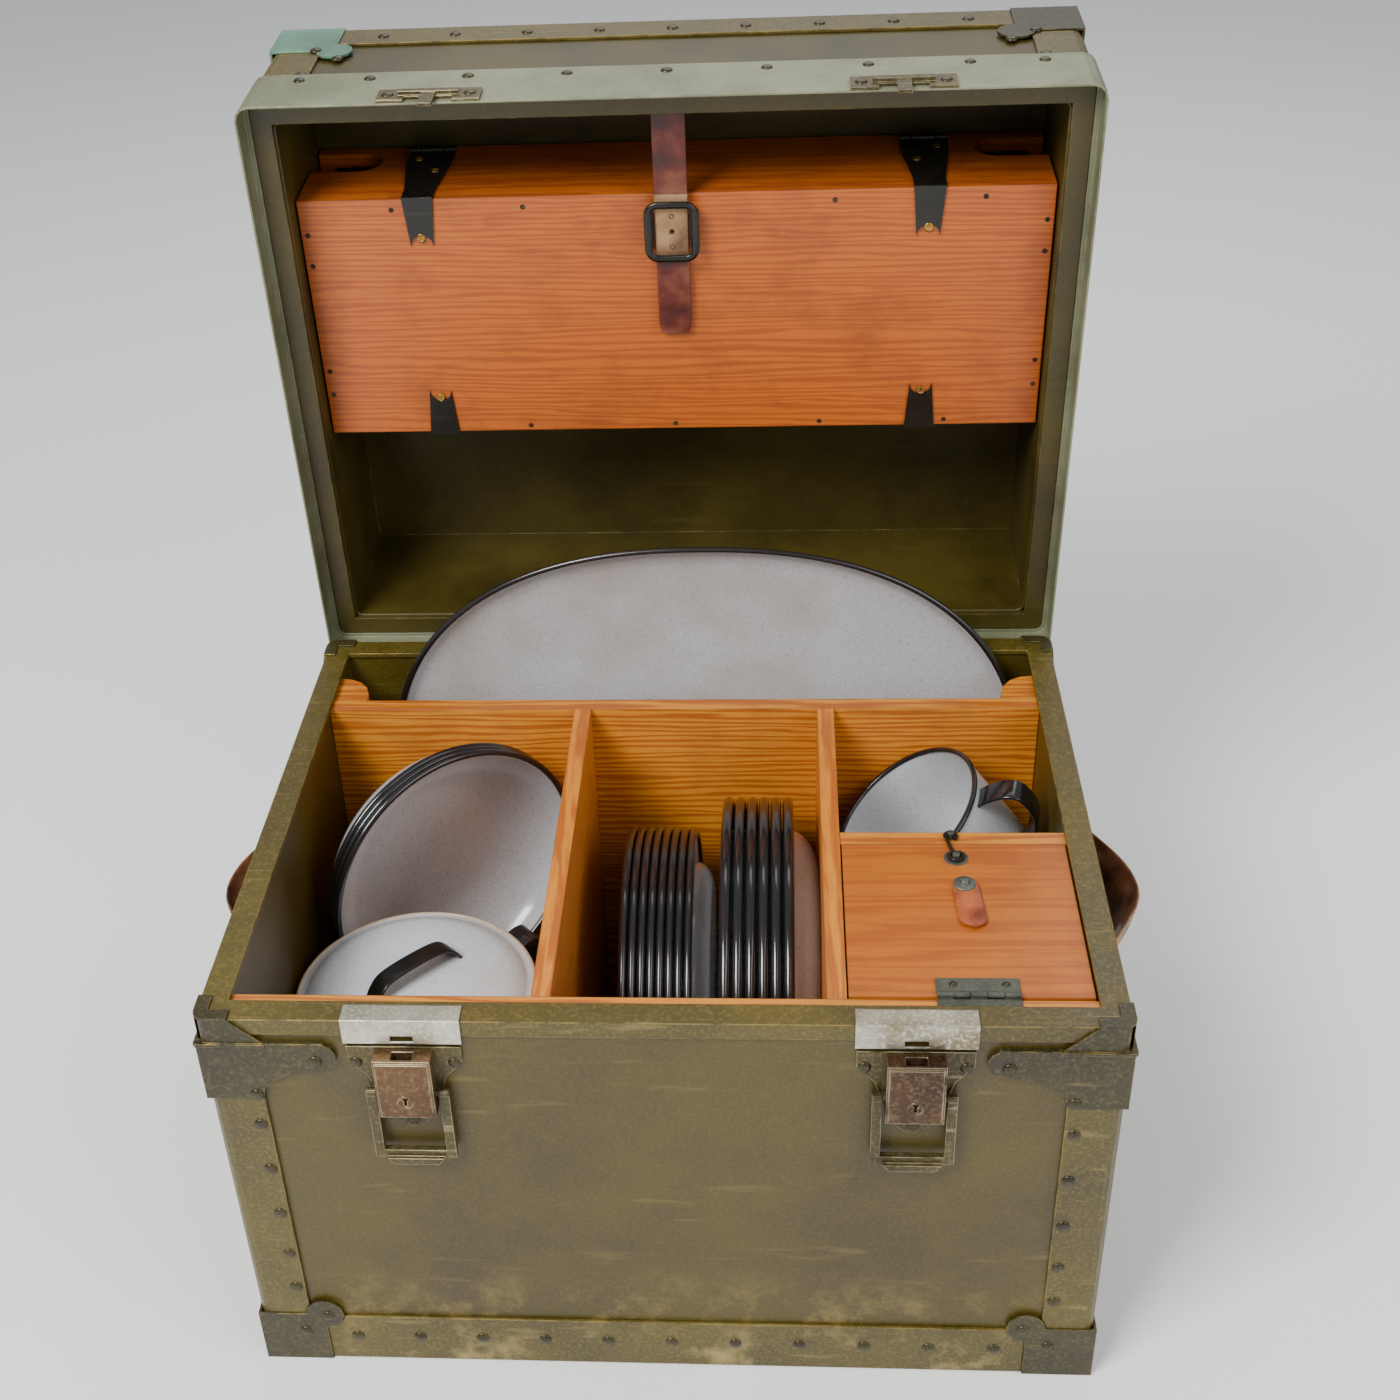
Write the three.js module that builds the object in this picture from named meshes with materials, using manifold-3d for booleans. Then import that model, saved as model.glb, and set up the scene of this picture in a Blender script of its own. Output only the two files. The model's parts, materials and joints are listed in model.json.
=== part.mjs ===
// Mess footlocker: a steel-bound plywood trunk that stands open, with a fall-front till in its lid,
// a wooden rack in its body and enamelled mess ware in the rack. Millimetres, +Z up, +X to the right,
// the front faces -Y. The trunk is drawn around its own centre line and its base; at the end the
// whole model is moved so that its origin is the middle of the ground it covers.
import * as THREE from 'three';
import { mergeVertices } from 'three/addons/utils/BufferGeometryUtils.js';
import Module from 'manifold-3d';

const wasm = await Module();
wasm.setup();

// ---- driving dimensions ---------------------------------------------------------------------
const WIDTH = 560;               // over the steel bindings, left to right
const DEPTH = 435;               // over the bindings, front to rear
const LEDGE = 295;               // height at which the closed lid's rim sits
const BODY_TOP = 313;            // top of the body's rim, inside the closed lid
const LID_HEIGHT = 156;          // from the lid's rim to its top
const LID_OPEN_DEG = 85.8;       // how far the lid stands open
const WALL = 14;                 // fibre-covered plywood walls
const FLOOR = 12;
const LID_PANEL = 10;
const BOARD = 12;                // boards of the wooden rack
const RACK_TOP = 309;            // height of the rack's boards above the ground
const VALANCE = 59;              // depth of the steel valance round the lid's rim
const TILL_HEIGHT = 182;         // the lid's till, seen with the lid open
const TILL_DEPTH = 95;
const TILL_HALF = 261;
const GAP = 0.3;                 // clearance between touching pieces

const HALF_X = WIDTH / 2;
const HALF_Y = DEPTH / 2;
const SKIN = 3.5;                // bindings and caps stand this far outside the plywood
const SHELL_X = HALF_X - SKIN;
const SHELL_Y = HALF_Y - SKIN;
const INNER_X = SHELL_X - WALL;
const INNER_Y = SHELL_Y - WALL;
const SHELL_BASE = 3.5;
const FLOOR_TOP = SHELL_BASE + FLOOR;
const HINGE_Y = HALF_Y + 5.5;    // axis of the lid's hinge, behind the body at ledge height
const BINDING = 2.4;             // layers of steel, measured outwards from the plywood
const CAP = SKIN;
const EDGE_RADIUS = 5;

// ---- finishes -------------------------------------------------------------------------------
function finish(color, roughness, metalness) {
  return new THREE.MeshStandardMaterial({ color, roughness, metalness });
}
const FIBRE = finish(0x5f5230, 0.6, 0);
const DARK_FIBRE = finish(0x453d1e, 0.55, 0);
const BINDING_STEEL = finish(0x6b6138, 0.5, 0.2);
const CAP_STEEL = finish(0x4a431f, 0.45, 0.3);
const VALANCE_STEEL = finish(0x5f6148, 0.45, 0.2);
const WORN_STEEL = finish(0xa8a68c, 0.35, 0.9);
const LATCH_STEEL = finish(0x5a5230, 0.4, 0.6);
const LOCK_STEEL = finish(0x6b4f42, 0.35, 0.8);
const BLACK_IRON = finish(0x15140f, 0.4, 0.6);
const PINE = finish(0xc9863c, 0.55, 0);
const TILL_WOOD = finish(0xb5591a, 0.45, 0);
const PLY = finish(0xbb6526, 0.5, 0);
const LEATHER = finish(0x8a5236, 0.6, 0);
const STRAP_LEATHER = finish(0x5e2414, 0.5, 0);
const ENAMEL = finish(0xa3a3a8, 0.2, 0);

// ---- solids ---------------------------------------------------------------------------------
function toSolid(geometry) {
  const bare = geometry.clone();
  bare.deleteAttribute('normal');
  bare.deleteAttribute('uv');
  const merged = mergeVertices(bare, 1e-4);
  const index = merged.index.array;
  const kept = [];
  for (let i = 0; i < index.length; i += 3) {
    const [a, b, c] = [index[i], index[i + 1], index[i + 2]];
    if (a !== b && b !== c && c !== a) kept.push(a, b, c);
  }
  const vertProperties = new Float32Array(merged.attributes.position.array);
  const triVerts = new Uint32Array(kept);
  return new wasm.Manifold(new wasm.Mesh({ numProp: 3, vertProperties, triVerts }));
}

function toGeometry(solid) {
  const data = solid.getMesh();
  const geometry = new THREE.BufferGeometry();
  geometry.setAttribute('position', new THREE.BufferAttribute(data.vertProperties, 3));
  geometry.setIndex(new THREE.BufferAttribute(data.triVerts, 1));
  geometry.computeVertexNormals();
  return geometry;
}

function join(...solids) {
  return solids.reduce((whole, piece) => whole.add(piece));
}

function cut(solid, ...tools) {
  return tools.reduce((rest, tool) => rest.subtract(tool), solid);
}

// A box between two values on each axis, given in either order.
function block(x0, x1, y0, y1, z0, z1) {
  const geometry = new THREE.BoxGeometry(Math.abs(x1 - x0), Math.abs(y1 - y0), Math.abs(z1 - z0));
  return toSolid(geometry.translate((x0 + x1) / 2, (y0 + y1) / 2, (z0 + z1) / 2));
}

// The way an outline's two axes and its depth lie in space.
const X_Y = new THREE.Matrix4();
const X_Z = new THREE.Matrix4().makeBasis(
  new THREE.Vector3(1, 0, 0), new THREE.Vector3(0, 0, 1), new THREE.Vector3(0, -1, 0));
const Y_Z = new THREE.Matrix4().makeBasis(
  new THREE.Vector3(0, 1, 0), new THREE.Vector3(0, 0, 1), new THREE.Vector3(1, 0, 0));

// An outline in one plane, given thickness between two values on the third axis.
function prism(plane, points, from, to) {
  const shape = new THREE.Shape(points.map(([a, b]) => new THREE.Vector2(a, b)));
  const depth = Math.abs(to - from);
  const geometry = new THREE.ExtrudeGeometry(shape, { depth, bevelEnabled: false });
  const near = plane === X_Z ? -Math.max(from, to) : Math.min(from, to);
  geometry.translate(0, 0, near).applyMatrix4(plane);
  return toSolid(geometry);
}

// Points of an arc in degrees, both ends included.
function arc(cx, cy, radius, start, end, steps) {
  return Array.from({ length: steps + 1 }, (_, i) => {
    const angle = THREE.MathUtils.degToRad(start + (end - start) * i / steps);
    return [cx + radius * Math.cos(angle), cy + radius * Math.sin(angle)];
  });
}

// A rectangle round the centre line with rounded corners.
function roundedRectangle(halfX, halfY, radius, steps = 3) {
  const [x, y] = [halfX - radius, halfY - radius];
  return [
    ...arc(x, y, radius, 0, 90, steps), ...arc(-x, y, radius, 90, 180, steps),
    ...arc(-x, -y, radius, 180, 270, steps), ...arc(x, -y, radius, 270, 360, steps),
  ];
}

// The plan of the plywood box, grown outwards by an offset.
function ring(offset) {
  return roundedRectangle(SHELL_X + offset, SHELL_Y + offset, Math.max(EDGE_RADIUS + offset, 1));
}

// A hollow frame that stands `outer` outside the plywood and reaches in to `inner`.
function frame(outer, inner, z0, z1) {
  return cut(prism(X_Y, ring(outer), z0, z1), prism(X_Y, ring(inner), z0 - 1, z1 + 1));
}

// A round bar along X, Y or Z.
function bar(axis, radius, from, to, a, b, sides = 12) {
  const geometry = new THREE.CylinderGeometry(radius, radius, Math.abs(to - from), sides);
  const middle = (from + to) / 2;
  if (axis === 'x') geometry.rotateZ(Math.PI / 2).translate(middle, a, b);
  if (axis === 'y') geometry.translate(a, middle, b);
  if (axis === 'z') geometry.rotateX(Math.PI / 2).translate(a, b, middle);
  return toSolid(geometry);
}

// A vessel turned about +Z from a profile of [radius, height] points that closes on itself.
function turned(profile, segments) {
  const points = [...profile, profile[0]].map(([r, h]) => new THREE.Vector2(r, h));
  return toSolid(new THREE.LatheGeometry(points, segments).rotateX(Math.PI / 2));
}

// A wire or rod that follows a list of points.
function rod(points, radius, sides, steps) {
  const path = new THREE.CatmullRomCurve3(points.map((p) => new THREE.Vector3(...p)), false, 'centripetal');
  const section = new THREE.Shape(arc(0, 0, radius, 0, 360 - 360 / sides, sides - 1)
    .map(([a, b]) => new THREE.Vector2(a, b)));
  return toSolid(new THREE.ExtrudeGeometry(section, { steps, extrudePath: path, bevelEnabled: false }));
}

function move(solid, x, y, z) {
  return solid.translate([x, y, z]);
}

const locker = new THREE.Group();
const lid = new THREE.Group();
lid.position.set(0, HINGE_Y, LEDGE);
lid.rotation.x = THREE.MathUtils.degToRad(-LID_OPEN_DEG);
locker.add(lid);

function place(name, solid, material, group = locker) {
  const own = group === lid ? move(solid, 0, -HINGE_Y, -LEDGE) : solid;
  const mesh = new THREE.Mesh(toGeometry(own), material.clone());
  mesh.name = name;
  group.add(mesh);
  return mesh;
}

const SIDES = { left: -1, right: 1 };
const CORNERS = {
  front_left: [-1, -1], front_right: [1, -1], rear_left: [-1, 1], rear_right: [1, 1],
};

// ---- steel corner caps ----------------------------------------------------------------------
// An outline is drawn from a corner of the trunk: [inwards along the edge, away from the edge].
// It is laid on both walls that meet there. `top` is the height of its zero line and `up` its sense.
function cornerPlates(outline, [sx, sy], top, up, inner, outer) {
  const onFront = outline.map(([u, v]) => [sx * (HALF_X - u), top + up * v]);
  const onSide = outline.map(([u, v]) => [sy * (HALF_Y - u), top + up * v]);
  return join(
    prism(X_Z, onFront, sy * (SHELL_Y + inner), sy * (SHELL_Y + outer)),
    prism(Y_Z, onSide, sx * (SHELL_X + inner), sx * (SHELL_X + outer)));
}

const CAP_LEG = 46;              // straight side of a foot or lid cap
const LOBE = 13;                 // radius of the round lobe on its inner corner
const UNDER = 1.5;               // steel of the binding left under a foot or lid cap

function lobedCap(corner, base, up, grow = 0) {
  const [sx, sy] = corner;
  const leg = CAP_LEG + grow;
  const start = SKIN - CAP;
  const outline = [
    [start, start], [leg, start], ...arc(CAP_LEG, CAP_LEG, LOBE + grow, -90, 180, 9), [start, leg],
  ];
  const plates = cornerPlates(outline, corner, base, up, UNDER + GAP - grow, CAP + grow);
  const x = sx * (SHELL_X + CAP + grow);
  const y = sy * (SHELL_Y + CAP + grow);
  const far = CAP_LEG + 2 * grow;
  const near = 20 + 2 * grow;
  const pad = [
    [x, y], [x - sx * far, y], [x - sx * far, y - sy * near], [x - sx * near, y - sy * far], [x, y - sy * far],
  ];
  const face = base + up * (start - grow);
  return join(plates, prism(X_Y, pad, face, base + up * (SKIN - UNDER - GAP + grow)));
}

const RIM_CAP_REACH = 75;        // centre of the round end of a rim cap, along the rim
const RIM_CAP_DROP = 46;         // how far a rim cap reaches down the corner

function rimCap(corner) {
  const [sx, sy] = corner;
  const start = SKIN - CAP;
  const lower = [
    [start, 0], [RIM_CAP_REACH + 3, 0], ...arc(RIM_CAP_REACH, 10.8, 10.4, -70, 100, 6),
    [58, 23.5], [46, 29], [38, 37], [36, RIM_CAP_DROP], [start, RIM_CAP_DROP],
  ];
  const upper = [[0.7, -1], [43, -1], [23, BODY_TOP - LEDGE], [0.7, BODY_TOP - LEDGE]];
  const lap = 2;
  const bead = [[start, -0.2], [43, -0.2], [43, 2.4], [start, 2.4]];
  const outX = sx * (SHELL_X + lap + 1.3);
  const outY = sy * (SHELL_Y + lap + 1.3);
  const flange = join(
    block(outX, outX - sx * 9, outY, outY - sy * 22, BODY_TOP + GAP, BODY_TOP + 1.4),
    block(outX, outX - sx * 22, outY, outY - sy * 9, BODY_TOP + GAP, BODY_TOP + 1.4));
  const edge = join(
    block(outX, outX - sx * 1.3, outY, outY - sy * 22, BODY_TOP - 1, BODY_TOP + 1.4),
    block(outX, outX - sx * 22, outY, outY - sy * 1.3, BODY_TOP - 1, BODY_TOP + 1.4));
  const rounded = prism(X_Y, ring(lap + 1.3), LEDGE - 2, BODY_TOP + 2);
  return join(
    cornerPlates(lower, corner, LEDGE, -1, GAP, CAP),
    cornerPlates(bead, corner, LEDGE, -1, GAP, SKIN + 1.2),
    join(cornerPlates(upper, corner, LEDGE, 1, lap, lap + 1.3), flange, edge).intersect(rounded));
}

// ---- trunk body -----------------------------------------------------------------------------
function buildBody() {
  const outside = roundedRectangle(SHELL_X, SHELL_Y, EDGE_RADIUS);
  const shellTop = BODY_TOP - 1.5;
  place('body_shell', cut(
    prism(X_Y, outside, SHELL_BASE, shellTop),
    block(-INNER_X, INNER_X, -INNER_Y, INNER_Y, FLOOR_TOP, shellTop + 1)), FIBRE);

  const sheet = 1.4;
  const inside = -WALL - GAP;
  place('body_rim_channel', join(
    frame(GAP + sheet, GAP, BODY_TOP - 12, BODY_TOP),
    frame(GAP + sheet, inside - sheet, shellTop + GAP, BODY_TOP),
    frame(inside, inside - sheet, RACK_TOP + GAP, BODY_TOP)), BINDING_STEEL);

  const width = 36;
  const skirt = 43;
  const postTop = LEDGE - RIM_CAP_DROP - GAP;
  const clearX = HALF_X - width;
  const clearY = HALF_Y - width;
  const posts = cut(
    frame(BINDING, GAP, skirt - 1, postTop),
    block(-clearX, clearX, -HALF_Y - 1, HALF_Y + 1, 0, LEDGE),
    block(-HALF_X - 1, HALF_X + 1, -clearY, clearY, 0, LEDGE));
  const flange = frame(BINDING, -30, SHELL_BASE - BINDING, SHELL_BASE - GAP);
  const edging = join(frame(BINDING, GAP, SHELL_BASE - BINDING, skirt), flange, posts);
  const clearance = Object.values(CORNERS).map((corner) => lobedCap(corner, 0, 1, GAP));
  place('body_edge_binding', cut(edging, ...clearance), BINDING_STEEL);

  for (const [name, corner] of Object.entries(CORNERS)) {
    place(`rim_cap_${name}`, rimCap(corner), CAP_STEEL);
    place(`foot_cap_${name}`, lobedCap(corner, 0, 1), CAP_STEEL);
  }
}

// ---- lid ------------------------------------------------------------------------------------
const LID_TOP = LEDGE + LID_HEIGHT;
const LID_SHELL_TOP = LID_TOP - SKIN;
const LID_MOUTH = LEDGE + 19.8;  // where the lid's plywood starts, above the body's rim

function buildLid() {
  const outside = roundedRectangle(SHELL_X, SHELL_Y, EDGE_RADIUS);
  place('lid_shell', cut(
    prism(X_Y, outside, LID_MOUTH, LID_SHELL_TOP),
    block(-INNER_X, INNER_X, -INNER_Y, INNER_Y, LID_MOUTH - 1, LID_SHELL_TOP - LID_PANEL)), DARK_FIBRE, lid);

  const rim = LEDGE + GAP;
  const valanceTop = LEDGE + VALANCE;
  const sheet = 1.4;
  const face = SKIN + 0.2;
  place('lid_valance', join(
    frame(face + sheet, face, rim, valanceTop),
    frame(face + sheet / 2, GAP, LID_MOUTH, LID_MOUTH + sheet),
    frame(face + sheet / 2, GAP, valanceTop - sheet, valanceTop)), VALANCE_STEEL, lid);

  const width = 36;
  const skirt = 30;
  const clearX = HALF_X - width;
  const clearY = HALF_Y - width;
  const posts = cut(
    frame(BINDING, GAP, valanceTop + GAP, LID_TOP - skirt + 1),
    block(-clearX, clearX, -HALF_Y - 1, HALF_Y + 1, LEDGE, LID_TOP),
    block(-HALF_X - 1, HALF_X + 1, -clearY, clearY, LEDGE, LID_TOP));
  const top = LID_SHELL_TOP + BINDING;
  const edging = join(
    frame(BINDING, GAP, LID_TOP - skirt, top), frame(BINDING, -30, LID_SHELL_TOP + GAP, top), posts);
  const clearance = Object.values(CORNERS).map((corner) => lobedCap(corner, LID_TOP, -1, GAP));
  place('lid_edge_binding', cut(edging, ...clearance), BINDING_STEEL, lid);
  for (const [name, corner] of Object.entries(CORNERS)) {
    place(`lid_cap_${name}`, lobedCap(corner, LID_TOP, -1), CAP_STEEL, lid);
  }
}

// ---- lid hinge: one long hinge along the rear -------------------------------------------------
function buildLidHinge() {
  const half = 190;
  const knuckles = 9;
  const pitch = 2 * half / knuckles;
  const radius = 3.2;
  const rear = SHELL_Y + GAP;
  const valanceRear = SHELL_Y + SKIN + 0.2 + 1.4 + GAP;
  const lower = [block(-half, half, rear, rear + 1.8, LEDGE - 34, LEDGE - 4)];
  const upper = [block(-half, half, valanceRear, valanceRear + 1.6, LEDGE + 4, LEDGE + 46)];
  lower.push(bar('x', 1.3, -half + 2, half - 2, HINGE_Y, LEDGE));
  for (let i = 0; i < knuckles; i += 1) {
    const x0 = -half + i * pitch + 0.25;
    const x1 = x0 + pitch - 0.5;
    const barrel = bar('x', radius, x0, x1, HINGE_Y, LEDGE);
    if (i % 2 === 0) {
      lower.push(barrel, block(x0, x1, rear, HINGE_Y, LEDGE - 6, LEDGE - 2));
    } else {
      const web = block(x0, x1, valanceRear, valanceRear + 1.6, LEDGE + 1, LEDGE + 5);
      upper.push(cut(join(barrel, web), bar('x', 1.75, x0 - 1, x1 + 1, HINGE_Y, LEDGE)));
    }
  }
  place('lid_hinge_body_leaf', join(...lower), LATCH_STEEL);
  place('lid_hinge_lid_leaf', join(...upper), LATCH_STEEL, lid);
}

// ---- draw latches ---------------------------------------------------------------------------
const LATCH_X = 153;             // centre of each latch from the middle of the front
const BAIL_PIVOT = [-SHELL_Y - 6.3, LEDGE - 36];

function latchPlate(x) {
  const half = [
    [35, LEDGE - 2.5], [35, LEDGE - 14], [31, LEDGE - 19], [24, LEDGE - 27], [20, LEDGE - 40],
    [16, LEDGE - 55], [10, LEDGE - 64], [4, LEDGE - 69],
  ];
  const outline = [...half, ...half.map(([u, v]) => [-u, v]).reverse()].map(([u, v]) => [x + u, v]);
  return prism(X_Z, outline, -SHELL_Y - GAP, -SHELL_Y - 2);
}

function lockCase(x) {
  const back = -SHELL_Y - 2.3;
  const front = back - 13;
  const top = LEDGE - 4;
  const base = LEDGE - 50;
  const body = join(
    block(x - 17.5, x + 17.5, back, front + 1.5, base, top),
    block(x - 16, x + 16, back, front, base + 1.5, top - 1.5));
  const slot = block(x - 6.5, x + 6.5, back - 2.6, back - 9.6, top - 13, top + 1);
  const key = join(
    bar('y', 2, front - 1, front + 3, x, LEDGE - 33, 10),
    block(x - 0.9, x + 0.9, front - 1, front + 3, LEDGE - 39, LEDGE - 33));
  const [y, z] = BAIL_PIVOT;
  const sockets = Object.values(SIDES).map((s) => bar('x', 2.4, x + s * 14, x + s * 19, y, z));
  return cut(body, slot, key, ...sockets);
}

function bail(x) {
  const [y, z] = BAIL_PIVOT;
  const thick = 2.2;
  const foot = z - 54;
  const [inside, outside] = [19.5, 25.5];
  const arms = Object.values(SIDES).map((s) => join(
    block(x + s * inside, x + s * outside, y - thick, y + thick, foot, z),
    bar('x', 2.9, x + s * inside, x + s * outside, y, z),
    bar('x', 1.9, x + s * 15, x + s * (inside + 1), y, z)));
  const cross = block(x - outside, x + outside, y - thick, y + thick, foot, foot + 6);
  const lip = prism(X_Z, [[x - 18, foot + 1], [x - 14, foot - 4], [x + 14, foot - 4], [x + 18, foot + 1]],
    y - thick - 2.5, y - thick + 1);
  return join(...arms, cross, lip);
}

function sleeve(x) {
  const half = 36;
  const face = -SHELL_Y - 2;
  const skin = join(
    block(x - half, x + half, face, face - 1.2, LEDGE + 1, BODY_TOP + 1.5),
    block(x - half, x + half, face - 1.2, face + WALL - 1, BODY_TOP + GAP, BODY_TOP + 1.5));
  return cut(skin, block(x - 7, x + 7, face + 1, face - 2, LEDGE + 2.5, LEDGE + 7));
}

function keeper(x) {
  const face = -SHELL_Y - SKIN - 1.6 - GAP;
  const z = LEDGE + GAP;
  const plate = cut(
    block(x - 34, x + 34, face, face - 1.8, z, z + 20),
    block(x - 16, x + 16, face + 1, face - 3, z - 1, z + 6));
  const ridge = block(x - 20, x + 20, face - 1, face - 4.5, z + 8, z + 13);
  const tongue = block(x - 4.5, x + 4.5, face - 1.2, face - 3.6, z - 11, z + 9);
  return join(plate, ridge, tongue);
}

function buildLatches() {
  for (const [side, s] of Object.entries(SIDES)) {
    const x = s * LATCH_X;
    place(`strike_sleeve_${side}`, sleeve(x), WORN_STEEL);
    place(`latch_plate_${side}`, latchPlate(x), LATCH_STEEL);
    place(`lock_case_${side}`, lockCase(x), LOCK_STEEL);
    place(`latch_bail_${side}`, bail(x), LATCH_STEEL);
    place(`keeper_plate_${side}`, keeper(x), LATCH_STEEL, lid);
  }
}

// ---- leather side handles ---------------------------------------------------------------------
const HANDLE_AXIS = [HALF_X + 7.5, 235];
const HANDLE_REACH = 27;
const HANDLE_HALF = 80;
const HANDLE_DROOP_DEG = 20;

function handlePlate(s) {
  const wall = SHELL_X + GAP;
  const [axisX, axisZ] = HANDLE_AXIS;
  const parts = [block(s * wall, s * (wall + 1.8), -96, 96, axisZ - 20, axisZ + 20)];
  for (const end of [-1, 1]) {
    const ear = join(
      block(s * wall, s * axisX, end * 81, end * 87, axisZ - 6, axisZ + 6),
      bar('y', 6, end * 81, end * 87, s * axisX, axisZ));
    parts.push(cut(ear, bar('y', 3, end * 80, end * 88, s * axisX, axisZ)));
  }
  return join(...parts);
}

function handleGrip(s) {
  const [axisX, axisZ] = HANDLE_AXIS;
  const steps = 16;
  const bulge = (y) => HANDLE_REACH * Math.cos(Math.PI * y / (2 * HANDLE_HALF)) ** 2;
  const stations = Array.from({ length: steps + 1 }, (_, i) => -HANDLE_HALF + 2 * HANDLE_HALF * i / steps);
  const plan = [
    ...stations.map((y) => [s * (axisX + bulge(y) + 3.5), y]),
    ...stations.map((y) => [s * (axisX + bulge(y) - 3.5), y]).reverse(),
  ];
  const span = [
    [-HANDLE_HALF - 1, 7], [-45, 17], [-20, 20], [20, 20], [45, 17], [HANDLE_HALF + 1, 7],
  ];
  const elevation = [...span, ...span.map(([y, h]) => [y, -h]).reverse()].map(([y, h]) => [y, axisZ + h]);
  const reach = [s * (axisX - 10), s * (axisX + 60)];
  const strap = prism(X_Y, plan, axisZ - 25, axisZ + 25)
    .intersect(prism(Y_Z, elevation, Math.min(...reach), Math.max(...reach)));
  const pins = [-1, 1].map((end) => bar('y', 2.4, end * 76, end * 86, s * axisX, axisZ));
  return move(join(strap, ...pins), -s * axisX, 0, -axisZ);
}

function buildHandles() {
  const [axisX, axisZ] = HANDLE_AXIS;
  for (const [side, s] of Object.entries(SIDES)) {
    place(`handle_plate_${side}`, handlePlate(s), LATCH_STEEL);
    const grip = place(`handle_grip_${side}`, handleGrip(s), LEATHER);
    grip.position.set(s * axisX, 0, axisZ);
    grip.rotation.y = THREE.MathUtils.degToRad(s * HANDLE_DROOP_DEG);
  }
}

// ---- till in the lid ---------------------------------------------------------------------------
// Drawn with the lid shut: the till's open side faces up, and its far edge in the open lid is -Y.
const TILL_REAR = HINGE_Y - 177;
const TILL_FRONT = TILL_REAR - TILL_HEIGHT;
const TILL_FACE = LEDGE + 44;    // outer face of the till's front panel
const TILL_PLY = 6;
const TILL_MOUTH = TILL_FACE + TILL_DEPTH;
const TILL_HINGE_X = 176;
const TILL_AXIS = [TILL_REAR + 3.2, TILL_MOUTH - 1];
const TILL_CATCH_Z = TILL_MOUTH - 14;

function tillFrame() {
  const base = TILL_FACE + TILL_PLY + GAP;
  const side = 10;
  const box = cut(
    block(-TILL_HALF, TILL_HALF, TILL_FRONT, TILL_REAR, base, TILL_MOUTH),
    block(-TILL_HALF + side, TILL_HALF - side, TILL_FRONT + side, TILL_REAR - side, base - 1, TILL_MOUTH + 1));
  const notches = Object.values(SIDES).map((s) => {
    const end = s * (TILL_HALF + 1);
    const round = s * (TILL_HALF - 34);
    const [low, high] = [TILL_FACE + 52, TILL_FACE + 84];
    return join(
      block(end, round, TILL_FRONT - 1, TILL_FRONT + side + 4, low, high),
      bar('y', (high - low) / 2, TILL_FRONT - 1, TILL_FRONT + side + 4, round, (low + high) / 2, 16));
  });
  return cut(box, ...notches);
}

// A strap leaf lies along one edge board, turns the corner and runs a short way over the panel.
function tillLeaf(x, edge, out, knuckleZ) {
  const sheet = 1.3;
  const shoulder = knuckleZ - 4;
  const near = edge + out * GAP;
  const far = near + out * sheet;
  const boardLeaf = [
    [x - 7.5, knuckleZ], [x + 7.5, knuckleZ], [x + 7.5, shoulder], [x + 17, shoulder], [x + 16, shoulder - 20],
    [x + 11, TILL_FACE + 14], [x + 11, TILL_FACE - GAP - sheet], [x - 11, TILL_FACE - GAP - sheet],
    [x - 11, TILL_FACE + 14], [x - 16, shoulder - 20], [x - 17, shoulder], [x - 7.5, shoulder],
  ];
  const tip = edge - out * 34;
  const panelLeaf = [
    [x - 11, far], [x + 11, far], [x + 8, tip], ...arc(x, tip, 8, 0, -out * -180, 6).slice(1, -1), [x - 8, tip],
  ];
  return join(
    prism(X_Z, boardLeaf, near, far),
    prism(X_Y, panelLeaf, TILL_FACE - GAP - sheet, TILL_FACE - GAP));
}

function buildTill() {
  place('till_frame', tillFrame(), TILL_WOOD, lid);
  place('till_front_panel',
    block(-TILL_HALF, TILL_HALF, TILL_FRONT, TILL_REAR, TILL_FACE, TILL_FACE + TILL_PLY), TILL_WOOD, lid);
  const [axisY, axisZ] = TILL_AXIS;
  const radius = 2.8;
  const knuckle = 8;
  for (const [side, s] of Object.entries(SIDES)) {
    const x = s * TILL_HINGE_X;
    const topY = TILL_FRONT - 3.2;
    place(`till_catch_leaf_${side}`, join(
      tillLeaf(x, TILL_FRONT, -1, TILL_CATCH_Z),
      bar('x', radius, x - knuckle, x + knuckle, topY, TILL_CATCH_Z)), BLACK_IRON, lid);
    place(`till_hinge_leaf_${side}`, join(
      tillLeaf(x, TILL_REAR, 1, axisZ), bar('x', radius, x - knuckle, x + knuckle, axisY, axisZ),
      bar('x', 1.2, x - 16, x + 16, axisY, axisZ, 8)), BLACK_IRON, lid);
    const panel = LID_SHELL_TOP - LID_PANEL - GAP;
    const ends = [-1, 1].map((end) => cut(
      join(
        bar('x', radius, x + end * (knuckle + 0.5), x + end * 17, axisY, axisZ),
        block(x + end * (knuckle + 0.5), x + end * 17, axisY, axisY + 4, axisZ - 1, panel)),
      bar('x', 1.6, x + end * (knuckle - 1), x + end * 18, axisY, axisZ, 8)));
    place(`till_hinge_lid_leaf_${side}`, join(
      ...ends, block(x - 17, x + 17, axisY + 3.2, axisY + 32, panel - 1.3, panel)), BLACK_IRON, lid);
  }
}

// ---- leather strap and buckle across the till --------------------------------------------------
const STRAP_HALF = 11.5;

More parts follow.
